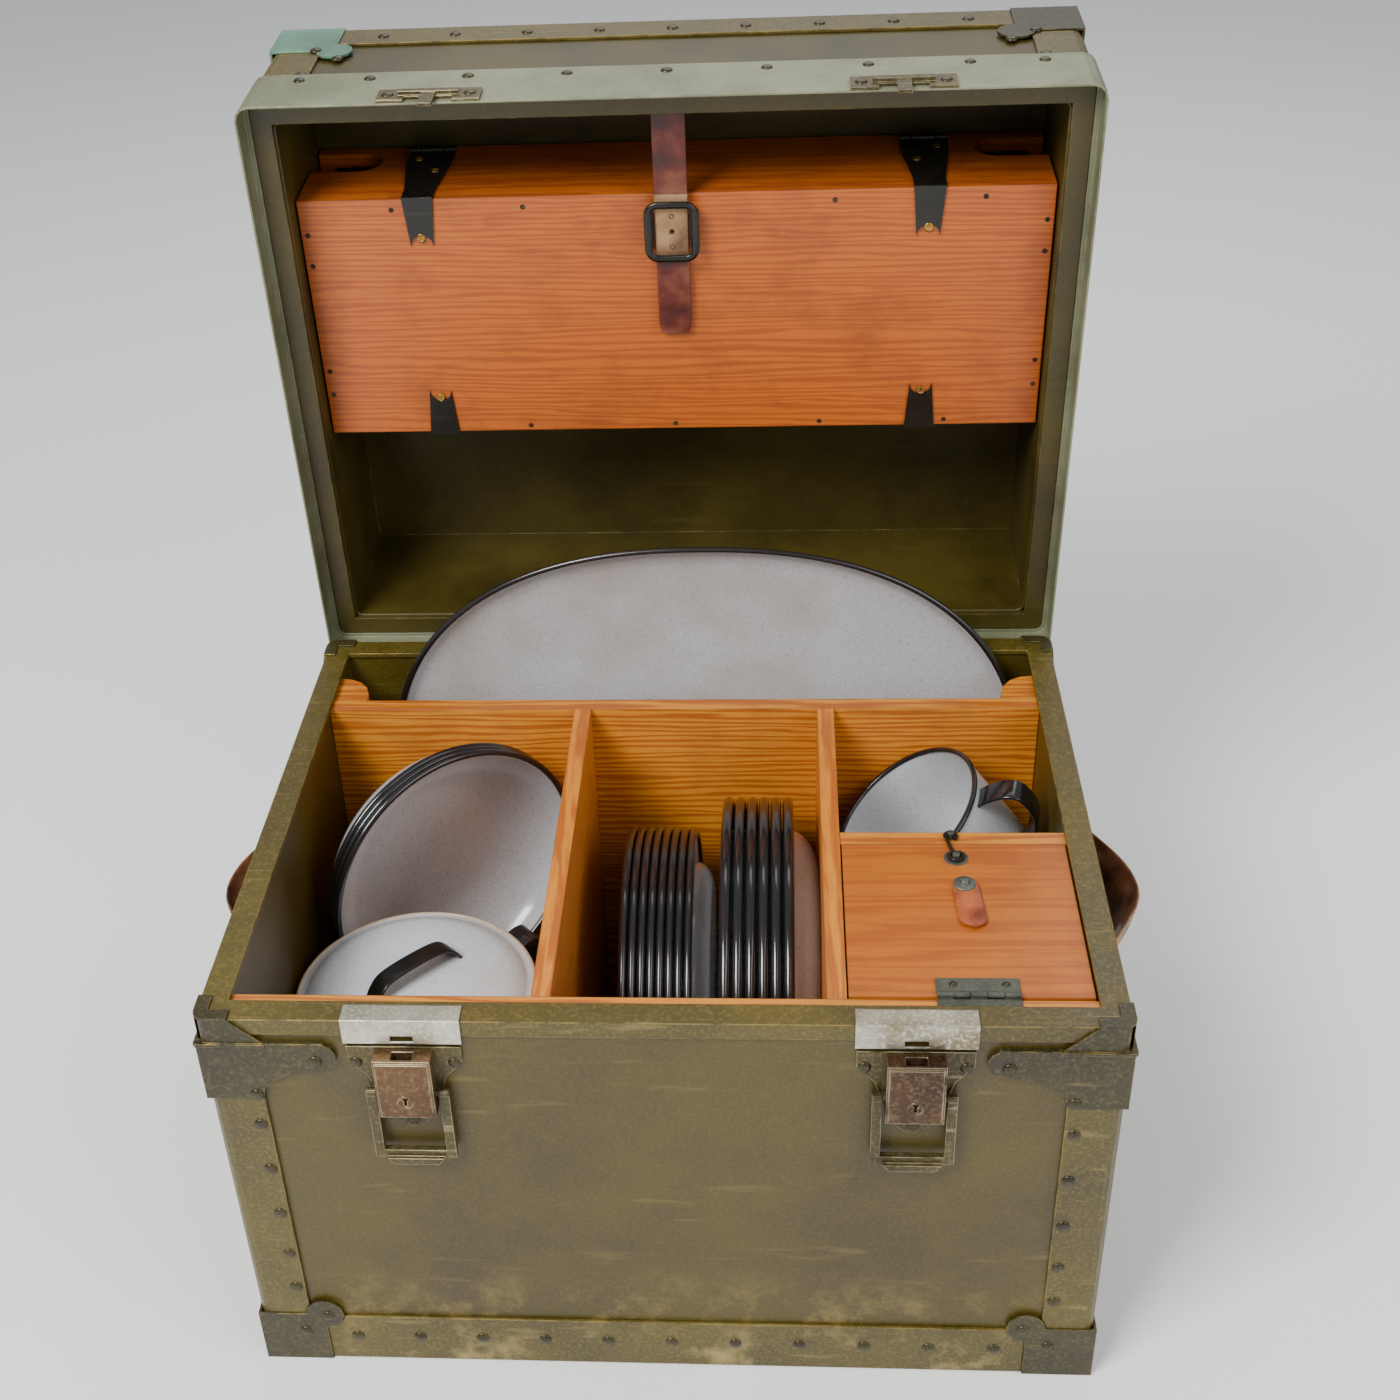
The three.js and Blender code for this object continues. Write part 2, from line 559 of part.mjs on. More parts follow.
function buildStrap() {
  const thick = 2.8;
  const anchor = -INNER_Y + GAP;
  const tail = HINGE_Y - 256;
  const lie = TILL_FACE - 6.6;
  const centre = [
    [anchor, lie - 1], [TILL_FRONT - 16, lie - 1], [TILL_FRONT - 2, lie - 0.5], [TILL_FRONT + 14, lie],
    [TILL_FRONT + 40, lie], [tail, lie + 1.5],
  ];
  const section = [...centre, ...centre.map(([y, z]) => [y, z + thick]).reverse()];
  place('till_strap', prism(Y_Z, section, -STRAP_HALF, STRAP_HALF), STRAP_LEATHER, lid);

  const [y0, y1] = [HINGE_Y - 357, HINGE_Y - 313];
  const half = 19;
  const wire = 5;
  const front = lie - 1.4;
  const ring = cut(
    block(-half, half, y0, y1, front - 3.6, front),
    block(-half + wire, half - wire, y0 + wire, y1 - wire, front - 5, front + 1));
  const feet = Object.values(SIDES).map((s) => block(
    s * half, s * (STRAP_HALF + 1.5), y0 + wire, y1 - wire, front - 1, TILL_FACE - 2 * GAP));
  place('strap_buckle', join(ring, ...feet), BLACK_IRON, lid);
}

// ---- wooden rack ----------------------------------------------------------------------------
const RACK_BASE = FLOOR_TOP + GAP;
const FRONT_BOARD = [-INNER_Y + GAP, -INNER_Y + GAP + BOARD - 1];
const REAR_BOARD = [126, 126 + BOARD];
const LEFT_DIVIDER = [-77.5, -77.5 + BOARD];
const RIGHT_DIVIDER = [101, 101 + BOARD];
const CROSS_BOARD = [-36.5, -36.5 + BOARD];
const BOX_LID_FRONT = -186;
const BOX_LID_THICK = 6;
const BOX_HINGE_X = 191;
const BOX_AXIS = [BOX_LID_FRONT - 0.6, RACK_TOP + 2.4];

function buildRack() {
  const endX = INNER_X - GAP;
  place('rack_front_board', block(-endX, endX, ...FRONT_BOARD, RACK_BASE, RACK_TOP), PINE);

  // Rounded chocks glued behind the rear board hold the platter back against the wall.
  const chocks = Object.values(SIDES).map((s) => {
    const outer = s * endX;
    const inner = s * (endX - 26);
    const front = REAR_BOARD[1] - 1;
    const plan = [
      [outer, front], [inner, front], [inner, front + 10], [inner + s * 3, front + 20],
      [inner + s * 9, front + 28], [inner + s * 17, front + 32], [outer, front + 33.5],
    ];
    return prism(X_Y, plan, RACK_BASE, RACK_TOP - 1);
  });
  place('rack_rear_board', join(
    block(-endX, endX, REAR_BOARD[0], REAR_BOARD[1], RACK_BASE, RACK_TOP), ...chocks), PINE);

  const between = [FRONT_BOARD[1] + GAP, REAR_BOARD[0] - GAP];
  place('rack_left_divider', block(...LEFT_DIVIDER, ...between, RACK_BASE, RACK_TOP), PINE);
  place('rack_right_divider', block(...RIGHT_DIVIDER, ...between, RACK_BASE, RACK_TOP), PINE);
  place('rack_cross_board',
    block(RIGHT_DIVIDER[1] + GAP, endX, ...CROSS_BOARD, RACK_BASE, RACK_TOP), PINE);

  place('utensil_lid', block(
    RIGHT_DIVIDER[1] + 1, endX - 2.2, BOX_LID_FRONT, CROSS_BOARD[0] - 0.8,
    RACK_TOP - BOX_LID_THICK, RACK_TOP), PLY);
}

function buildBoxHinge() {
  const half = 25;
  const knuckles = 5;
  const pitch = 2 * half / knuckles;
  const [y, z] = BOX_AXIS;
  const sheet = 1.2;
  const base = RACK_TOP + GAP;
  const fixed = [
    block(BOX_HINGE_X - half, BOX_HINGE_X + half, FRONT_BOARD[0] + 2, y - 2.6, base, base + sheet),
    bar('x', 0.9, BOX_HINGE_X - half + 1, BOX_HINGE_X + half - 1, y, z, 8),
  ];
  const moving = [block(BOX_HINGE_X - half, BOX_HINGE_X + half, y + 2.6, y + 16, base, base + sheet)];
  for (let i = 0; i < knuckles; i += 1) {
    const x0 = BOX_HINGE_X - half + i * pitch + 0.2;
    const x1 = x0 + pitch - 0.4;
    const side = i % 2 === 0 ? -1 : 1;
    const knuckle = join(
      bar('x', 2.1, x0, x1, y, z, 10), block(x0, x1, y + side * 3, y, base, base + sheet));
    if (side < 0) fixed.push(knuckle);
    else moving.push(cut(knuckle, bar('x', 1.35, x0 - 1, x1 + 1, y, z, 8)));
  }
  place('utensil_hinge_fixed_leaf', join(...fixed), BLACK_IRON);
  place('utensil_hinge_lid_leaf', join(...moving), BLACK_IRON);
}

// ---- wire hook that holds the utensil box shut ---------------------------------------------------
const HOOK_PIVOT = [188, -52];
const HOOK_POST = [186, -30.5];

function buildHook() {
  const wire = 1.3;
  const z = RACK_TOP + 0.6 + wire;
  const [px, py] = HOOK_PIVOT;
  const [qx, qy] = HOOK_POST;
  const loop = arc(px, py, 4.6, 60, -240, 8).map(([x, y]) => [x, y, z]);
  const hook = arc(qx, qy, 3.9, 215, -60, 7).map(([x, y]) => [x, y, z]);
  const shank = [[(px + qx) / 2 - 2.4, (py + qy) / 2, z]];
  place('box_hook', rod([...loop, ...shank, ...hook], wire, 8, 40), BLACK_IRON);
}

// ---- enamelled ware --------------------------------------------------------------------------
// A vessel's profile runs down its outside from the rolled rim, across its foot and back up inside.
function vessel(radius, depth, footRadius, wall, brim, segments) {
  const well = radius - brim;
  return turned([
    [radius, -0.6], [radius, 1.8], [radius - 2, 1.8], [well + 2, -1], [well, -depth * 0.3],
    [(well * 2 + footRadius) / 3, -depth * 0.72], [footRadius, -depth + wall], [0, -depth + wall],
    [0, -depth], [footRadius + wall, -depth], [(well * 2 + footRadius) / 3 + wall, -depth * 0.72 - wall * 0.6],
    [well + wall, -depth * 0.3], [well + 3, -1 - wall], [radius - 1, -0.6],
  ], segments);
}

// Dishes nested face to back, drawn as one solid: a fin for every rim, round one common well.
function dishStack(count, pitch, radius, fin, well, depth, segments) {
  const [sheet, wall] = [2, 4];
  const rims = [];
  for (let i = 0; i < count; i += 1) {
    const h = -i * pitch;
    rims.push([radius, h], [radius, h - sheet], [radius - fin, h - sheet - 1], [radius - fin, h - pitch]);
  }
  rims.pop();
  const back = -(count - 1) * pitch;
  return turned([
    [0, back - depth - sheet], [well, back - depth - sheet], ...rims.reverse(), [radius - fin - wall, -1],
    [well - wall, back - depth], [0, back - depth],
  ], segments);
}

// A strap handle: a flat bar bent along a path of [across, height] points.
function strapHandle(path, halfWidth, thick) {
  const outline = [...path, ...path.map(([u, v]) => [u, v - thick]).reverse()];
  return prism(X_Z, outline, -halfWidth, halfWidth);
}

// A cup drawn mouth up about +Z, with a flat strap handle on its +X side.
function cup(radius, height, wall) {
  const body = turned([
    [0, 0], [radius - 12, 0], [radius - 5, 8], [radius, height], [radius + 1.6, height], [radius + 1.6, height + 2.4],
    [radius - wall, height + 2.4], [radius - wall - 5, 9], [radius - 13, wall], [0, wall],
  ], 28);
  const reach = radius + 30;
  const loop = [
    [radius - 1.5, height - 6], [radius + 20, height - 6], [reach, height - 14], [reach, height - 34],
    [radius + 12, height - 54], [radius - 4.5, height - 60],
  ];
  const inner = [
    [radius - 4.5, height - 56], [radius + 10, height - 50.5], [reach - 3, height - 33], [reach - 3, height - 15.5],
    [radius + 18.5, height - 9], [radius - 1.5, height - 9],
  ];
  return join(body, prism(X_Z, [...loop, ...inner], -9, 9));
}

// A straight-sided pot drawn about +Z with a loop ear standing on its rim at +X.
function pot(radius, height, wall) {
  const body = turned([
    [0, 0], [radius - 12, 0], [radius - 5, 7], [radius, height - 3], [radius + 2, height - 3], [radius + 2, height],
    [radius - wall, height], [radius - wall - 5, 8], [radius - 13, wall], [0, wall],
  ], 32);
  const outer = [
    [radius - 1, height - 6], [radius + 16, height + 3], [radius + 22, height], [radius + 20, height - 16],
    [radius - 2, height - 36],
  ];
  const inner = [
    [radius - 2, height - 32], [radius + 17, height - 14.5], [radius + 19, height - 2], [radius + 16, height - 0.5],
    [radius - 1, height - 9.5],
  ];
  return join(body, prism(X_Z, [...outer, ...inner], -11, 11));
}

function placeDish(name, solid, position, rotation) {
  const mesh = place(name, solid, ENAMEL);
  mesh.position.set(...position);
  mesh.rotation.set(...rotation.map((angle) => THREE.MathUtils.degToRad(angle)));
  return mesh;
}

function buildWare() {
  const platterHalf = 198;
  const platterStretch = 246 / platterHalf;
  const platter = vessel(platterHalf, 20, platterHalf * 0.7, 1.8, 8, 48).scale([platterStretch, 1, 1]);
  placeDish('platter', platter, [15, 174.5, FLOOR_TOP + platterHalf + 3], [88, 0, 0]);

  const bowls = dishStack(3, 5.5, 103, 7, 58, 30, 36);
  placeDish('mixing_bowls', bowls, [-163, 49.5, 213.3], [87.8, 40, 0]);

  const plates = dishStack(8, 6.3, 125, 22, 84, 12, 32);
  placeDish('plates', plates, [-34, -4, FLOOR_TOP + 126], [0, -90, 0]);

  const soupBowls = dishStack(6, 8.4, 141, 18, 80, 20, 32);
  placeDish('soup_bowls', soupBowls, [36, -16, FLOOR_TOP + 142], [0, -90, 0]);

  const potCentre = [-176, -73.5];
  const potHeight = 192;
  placeDish('pot', pot(78, potHeight, 1.8), [...potCentre, FLOOR_TOP + GAP], [0, 0, 43]);
  const coverRadius = 83;
  const cover = turned([
    [0, 12], [coverRadius * 0.55, 10.5], [coverRadius - 12, 5], [coverRadius - 7, 0], [coverRadius, 0],
    [coverRadius, 2.4], [coverRadius - 6, 2.4], [coverRadius - 12, 7.4], [coverRadius * 0.55, 12.5], [0, 14],
  ], 36);
  const grip = strapHandle([
    [-41, 11], [-37, 12.5], [-30, 25], [-18, 29], [18, 29], [30, 25], [37, 12.5], [41, 11],
  ], 7, 2.2);
  const coverBase = FLOOR_TOP + potHeight + 2 * GAP;
  placeDish('pot_lid', join(cover, grip), [...potCentre, coverBase], [0, 0, 45]);

  placeDish('cup', cup(59.5, 80, 1.8), [214, 67.5, 196], [5.5, -38, -14]);
}

buildBody();
buildLid();
buildLidHinge();
buildLatches();
buildHandles();
buildTill();
buildStrap();
buildRack();
buildBoxHinge();
buildHook();
buildWare();

locker.updateMatrixWorld(true);
const footprint = new THREE.Box3().setFromObject(locker, true).getCenter(new THREE.Vector3());
locker.position.set(-footprint.x, -footprint.y, 0);

export default locker;
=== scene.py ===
"""A steel-bound mess footlocker, standing open: painted trunk, lid till, wooden rack and enamelled ware.

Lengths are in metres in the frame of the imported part. Sizes that a fitter would quote are written in
millimetres and multiplied by MM.
"""
import json
import logging
import math
from collections.abc import Iterable, Sequence
from dataclasses import dataclass, field
from enum import Enum

import bmesh
import bpy
from mathutils import Matrix, Vector


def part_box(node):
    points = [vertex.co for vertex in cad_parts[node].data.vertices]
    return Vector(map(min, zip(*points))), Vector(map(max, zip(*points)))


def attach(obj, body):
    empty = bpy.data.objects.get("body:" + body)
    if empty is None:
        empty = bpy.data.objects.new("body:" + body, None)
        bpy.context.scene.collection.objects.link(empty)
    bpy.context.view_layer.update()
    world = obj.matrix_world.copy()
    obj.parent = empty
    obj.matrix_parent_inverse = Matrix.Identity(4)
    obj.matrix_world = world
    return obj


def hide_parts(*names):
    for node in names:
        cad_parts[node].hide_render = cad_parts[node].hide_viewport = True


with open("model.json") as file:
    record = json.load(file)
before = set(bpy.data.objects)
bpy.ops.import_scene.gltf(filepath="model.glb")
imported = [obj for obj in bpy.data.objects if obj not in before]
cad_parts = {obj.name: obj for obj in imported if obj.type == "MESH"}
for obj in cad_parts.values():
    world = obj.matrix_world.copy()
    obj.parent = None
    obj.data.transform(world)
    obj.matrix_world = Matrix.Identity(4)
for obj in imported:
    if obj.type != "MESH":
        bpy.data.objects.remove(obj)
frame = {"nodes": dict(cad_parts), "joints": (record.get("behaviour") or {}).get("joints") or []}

LOG = logging.getLogger("footlocker")
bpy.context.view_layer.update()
MM = 0.001
SEED = 11
COLUMN_WIDTH, ROW_HEIGHT = 230, 320

Colour = tuple[float, float, float, float]
Profile = list[tuple[float, float]]


def paint_chip(red: int, green: int, blue: int) -> Colour:
    """Turns a colour read off a paint chip, 0 to 255, into the linear colour that shaders use."""
    channels = (red, green, blue)
    return tuple(((c / 255 + 0.055) / 1.055) ** 2.4 if c > 10 else c / 3294.6 for c in channels) + (1.0,)


class Body(str, Enum):
    """The moving bodies that pieces ride on."""

    TRUNK = "trunk"
    LID = "lid"
    TILL = "till"
    LEFT_BAIL = "left_bail"
    RIGHT_BAIL = "right_bail"
    LEFT_HANDLE = "left_handle"
    RIGHT_HANDLE = "right_handle"
    UTENSIL_COVER = "utensil_cover"
    HOOK = "hook"
    PLATTER = "platter"
    BOWLS = "bowls"
    POT = "pot"
    POT_COVER = "pot_cover"
    PLATES = "plates"
    SOUP_BOWLS = "soup_bowls"
    CUP = "cup"


class Side(Enum):
    """Left and right, by the sign of X."""

    LEFT = -1
    RIGHT = 1

    @property
    def word(self) -> str:
        """The side's name as node names spell it."""
        return self.name.lower()


class Wall(Enum):
    """The four upright walls, by the way each one faces."""

    FRONT = (0, -1)
    REAR = (0, 1)
    LEFT = (-1, 0)
    RIGHT = (1, 0)


# ---- finishes ----------------------------------------------------------------------------------
@dataclass(frozen=True)
class Paint:
    """A coat on steel or fibre: its tone, its dirt, and what shows where it is worn through."""

    name: str
    tone: Colour
    shade: Colour
    bare: Colour
    pale: Colour = (0.3, 0.26, 0.14, 1.0)
    roughness: float = 0.55
    metal: float = 0.0
    bare_metal: float = 0.0
    wear: float = 0.5
    edge: float = 1.2 * MM
    speckle: float = 0.25
    scratches: float = 0.3
    scuff_top: float = 1.0 * MM
    grain: float = 420.0
    bump: float = 0.12

    def material(self) -> bpy.types.Material:
        """Writes the coat out as nodes.

        Returns:
            The finished material.
        """
        material = bpy.data.materials.new(self.name)
        material.use_nodes = True
        material.diffuse_color = self.tone
        nodes, links = material.node_tree.nodes, material.node_tree.links
        nodes.clear()

        place = nodes.new("ShaderNodeTexCoord")
        place.label = "place on the piece"
        place.location = (-1800, 0)
        surface = nodes.new("ShaderNodeNewGeometry")
        surface.label = "true surface"
        surface.location = (-1800, -500)

        tone_frame = nodes.new("NodeFrame")
        tone_frame.label = "patchy tone of the coat"
        patches = nodes.new("ShaderNodeTexNoise")
        patches.label = "broad patches"
        patches.inputs["Scale"].default_value = 11.0
        patches.inputs["Detail"].default_value = 7.0
        patches.inputs["Roughness"].default_value = 0.62
        patch_ramp = nodes.new("ShaderNodeValToRGB")
        patch_ramp.label = "shade to tone"
        patch_ramp.color_ramp.elements[0].position = 0.36
        patch_ramp.color_ramp.elements[0].color = self.shade
        patch_ramp.color_ramp.elements[1].position = 0.62
        patch_ramp.color_ramp.elements[1].color = self.tone
        grit = nodes.new("ShaderNodeTexNoise")
        grit.label = "grit in the coat"
        grit.inputs["Scale"].default_value = self.grain
        grit.inputs["Detail"].default_value = 3.0
        grit_range = nodes.new("ShaderNodeMapRange")
        grit_range.label = "grit strength"
        grit_range.inputs["From Min"].default_value = 0.48
        grit_range.inputs["From Max"].default_value = 0.75
        grit_range.inputs["To Max"].default_value = self.speckle
        grit_mix = nodes.new("ShaderNodeMix")
        grit_mix.label = "coat with grit"
        grit_mix.data_type = "RGBA"
        grit_mix.inputs[7].default_value = self.pale
        for column, node in enumerate((patches, patch_ramp, grit, grit_range, grit_mix)):
            node.parent = tone_frame
            node.location = (COLUMN_WIDTH * column, -ROW_HEIGHT * 0)
        links.new(place.outputs["Object"], patches.inputs["Vector"])
        links.new(patches.outputs["Fac"], patch_ramp.inputs["Fac"])
        links.new(place.outputs["Object"], grit.inputs["Vector"])
        links.new(grit.outputs["Fac"], grit_range.inputs["Value"])
        links.new(grit_range.outputs["Result"], grit_mix.inputs[0])
        links.new(patch_ramp.outputs["Color"], grit_mix.inputs[6])

        scuff_frame = nodes.new("NodeFrame")
        scuff_frame.label = "pale scuffs low down and fine scratches"
        height = nodes.new("ShaderNodeSeparateXYZ")
        height.label = "height above the ground"
        low = nodes.new("ShaderNodeMapRange")
        low.label = "stronger towards the ground"
        low.inputs["From Min"].default_value = self.scuff_top
        low.inputs["From Max"].default_value = 0.0
        scuffs = nodes.new("ShaderNodeTexNoise")
        scuffs.label = "scuffed places"
        scuffs.inputs["Scale"].default_value = 26.0
        scuffs.inputs["Detail"].default_value = 9.0
        scuffs.inputs["Roughness"].default_value = 0.72
        scuff_range = nodes.new("ShaderNodeMapRange")
        scuff_range.label = "scuff threshold"
        scuff_range.inputs["From Min"].default_value = 0.5
        scuff_range.inputs["From Max"].default_value = 0.66
        scuff_mask = nodes.new("ShaderNodeMath")
        scuff_mask.label = "scuffs near the ground"
        scuff_mask.operation = "MULTIPLY"
        lines = nodes.new("ShaderNodeMapping")
        lines.label = "drawn out into scratches"
        lines.inputs["Rotation"].default_value = (0.5, 0.9, 0.35)
        lines.inputs["Scale"].default_value = (9.0, 260.0, 60.0)
        scratch = nodes.new("ShaderNodeTexNoise")
        scratch.label = "scratches"
        scratch.inputs["Scale"].default_value = 1.6
        scratch.inputs["Detail"].default_value = 5.0
        scratch_range = nodes.new("ShaderNodeMapRange")
        scratch_range.label = "only the sharpest lines"
        scratch_range.inputs["From Min"].default_value = 0.63
        scratch_range.inputs["From Max"].default_value = 0.72
        scratch_range.inputs["To Max"].default_value = self.scratches
        marks = nodes.new("ShaderNodeMath")
        marks.label = "scuffs and scratches"
        marks.operation = "MAXIMUM"
        scuff_mix = nodes.new("ShaderNodeMix")
        scuff_mix.label = "coat with scuffs"
        scuff_mix.data_type = "RGBA"
        scuff_mix.inputs[7].default_value = self.pale
        for column, node in enumerate((
                height, low, scuffs, scuff_range, scuff_mask,
                lines, scratch, scratch_range, marks, scuff_mix)):
            node.parent = scuff_frame
            node.location = (COLUMN_WIDTH * column, -ROW_HEIGHT * 1)
        links.new(place.outputs["Object"], height.inputs["Vector"])
        links.new(height.outputs["Z"], low.inputs["Value"])
        links.new(place.outputs["Object"], scuffs.inputs["Vector"])
        links.new(scuffs.outputs["Fac"], scuff_range.inputs["Value"])
        links.new(low.outputs["Result"], scuff_mask.inputs[0])
        links.new(scuff_range.outputs["Result"], scuff_mask.inputs[1])
        links.new(place.outputs["Object"], lines.inputs["Vector"])
        links.new(lines.outputs["Vector"], scratch.inputs["Vector"])
        links.new(scratch.outputs["Fac"], scratch_range.inputs["Value"])
        links.new(scuff_mask.outputs["Value"], marks.inputs[0])
        links.new(scratch_range.outputs["Result"], marks.inputs[1])
        links.new(marks.outputs["Value"], scuff_mix.inputs[0])
        links.new(grit_mix.outputs[2], scuff_mix.inputs[6])

        edge_frame = nodes.new("NodeFrame")
        edge_frame.label = "edges rubbed through"
        rounding = nodes.new("ShaderNodeBevel")
        rounding.label = "eased edge"
        rounding.samples = 4
        rounding.inputs["Radius"].default_value = self.edge
        turn = nodes.new("ShaderNodeVectorMath")
        turn.label = "how far the edge turns"
        turn.operation = "DOT_PRODUCT"
        sharp = nodes.new("ShaderNodeMapRange")
        sharp.label = "edge strength"
        sharp.inputs["From Min"].default_value = 0.995
        sharp.inputs["From Max"].default_value = 0.86
        rubbed = nodes.new("ShaderNodeTexNoise")
        rubbed.label = "uneven rubbing"
        rubbed.inputs["Scale"].default_value = 75.0
        rubbed.inputs["Detail"].default_value = 6.0
        rubbed_range = nodes.new("ShaderNodeMapRange")
        rubbed_range.label = "rubbing threshold"
        rubbed_range.inputs["From Min"].default_value = 0.62 - 0.3 * self.wear
        rubbed_range.inputs["From Max"].default_value = 0.72 - 0.2 * self.wear
        worn = nodes.new("ShaderNodeMath")
        worn.label = "worn edge"
        worn.operation = "MULTIPLY"
        bare_mix = nodes.new("ShaderNodeMix")
        bare_mix.label = "coat and bare edge"
        bare_mix.data_type = "RGBA"
        bare_mix.inputs[7].default_value = self.bare
        for column, node in enumerate((rounding, turn, sharp, rubbed, rubbed_range, worn, bare_mix)):
            node.parent = edge_frame
            node.location = (COLUMN_WIDTH * column, -ROW_HEIGHT * 2)
        links.new(rounding.outputs["Normal"], turn.inputs[0])
        links.new(surface.outputs["Normal"], turn.inputs[1])
        links.new(turn.outputs["Value"], sharp.inputs["Value"])
        links.new(place.outputs["Object"], rubbed.inputs["Vector"])
        links.new(rubbed.outputs["Fac"], rubbed_range.inputs["Value"])
        links.new(sharp.outputs["Result"], worn.inputs[0])
        links.new(rubbed_range.outputs["Result"], worn.inputs[1])
        links.new(worn.outputs["Value"], bare_mix.inputs[0])
        links.new(scuff_mix.outputs[2], bare_mix.inputs[6])

        gloss_frame = nodes.new("NodeFrame")
        gloss_frame.label = "gloss, metal and texture"
        gloss = nodes.new("ShaderNodeMapRange")
        gloss.label = "patchy gloss"
        gloss.inputs["To Min"].default_value = self.roughness - 0.12
        gloss.inputs["To Max"].default_value = self.roughness + 0.14
        metal = nodes.new("ShaderNodeMapRange")
        metal.label = "metal where it is bare"
        metal.inputs["To Min"].default_value = self.metal
        metal.inputs["To Max"].default_value = self.bare_metal
        relief = nodes.new("ShaderNodeBump")
        relief.label = "grain of the coat"
        relief.inputs["Strength"].default_value = self.bump
        relief.inputs["Distance"].default_value = 0.4 * MM
        shader = nodes.new("ShaderNodeBsdfPrincipled")
        shader.label = "coat"
        output = nodes.new("ShaderNodeOutputMaterial")
        output.label = "finish"
        for column, node in enumerate((gloss, metal, relief, shader, output)):
            node.parent = gloss_frame
            node.location = (COLUMN_WIDTH * column, -ROW_HEIGHT * 3)
        links.new(patches.outputs["Fac"], gloss.inputs["Value"])
        links.new(worn.outputs["Value"], metal.inputs["Value"])
        links.new(grit.outputs["Fac"], relief.inputs["Height"])
        links.new(rounding.outputs["Normal"], relief.inputs["Normal"])
        links.new(bare_mix.outputs[2], shader.inputs["Base Color"])
        links.new(gloss.outputs["Result"], shader.inputs["Roughness"])
        links.new(metal.outputs["Result"], shader.inputs["Metallic"])
        links.new(relief.outputs["Normal"], shader.inputs["Normal"])
        links.new(shader.outputs["BSDF"], output.inputs["Surface"])
        return material


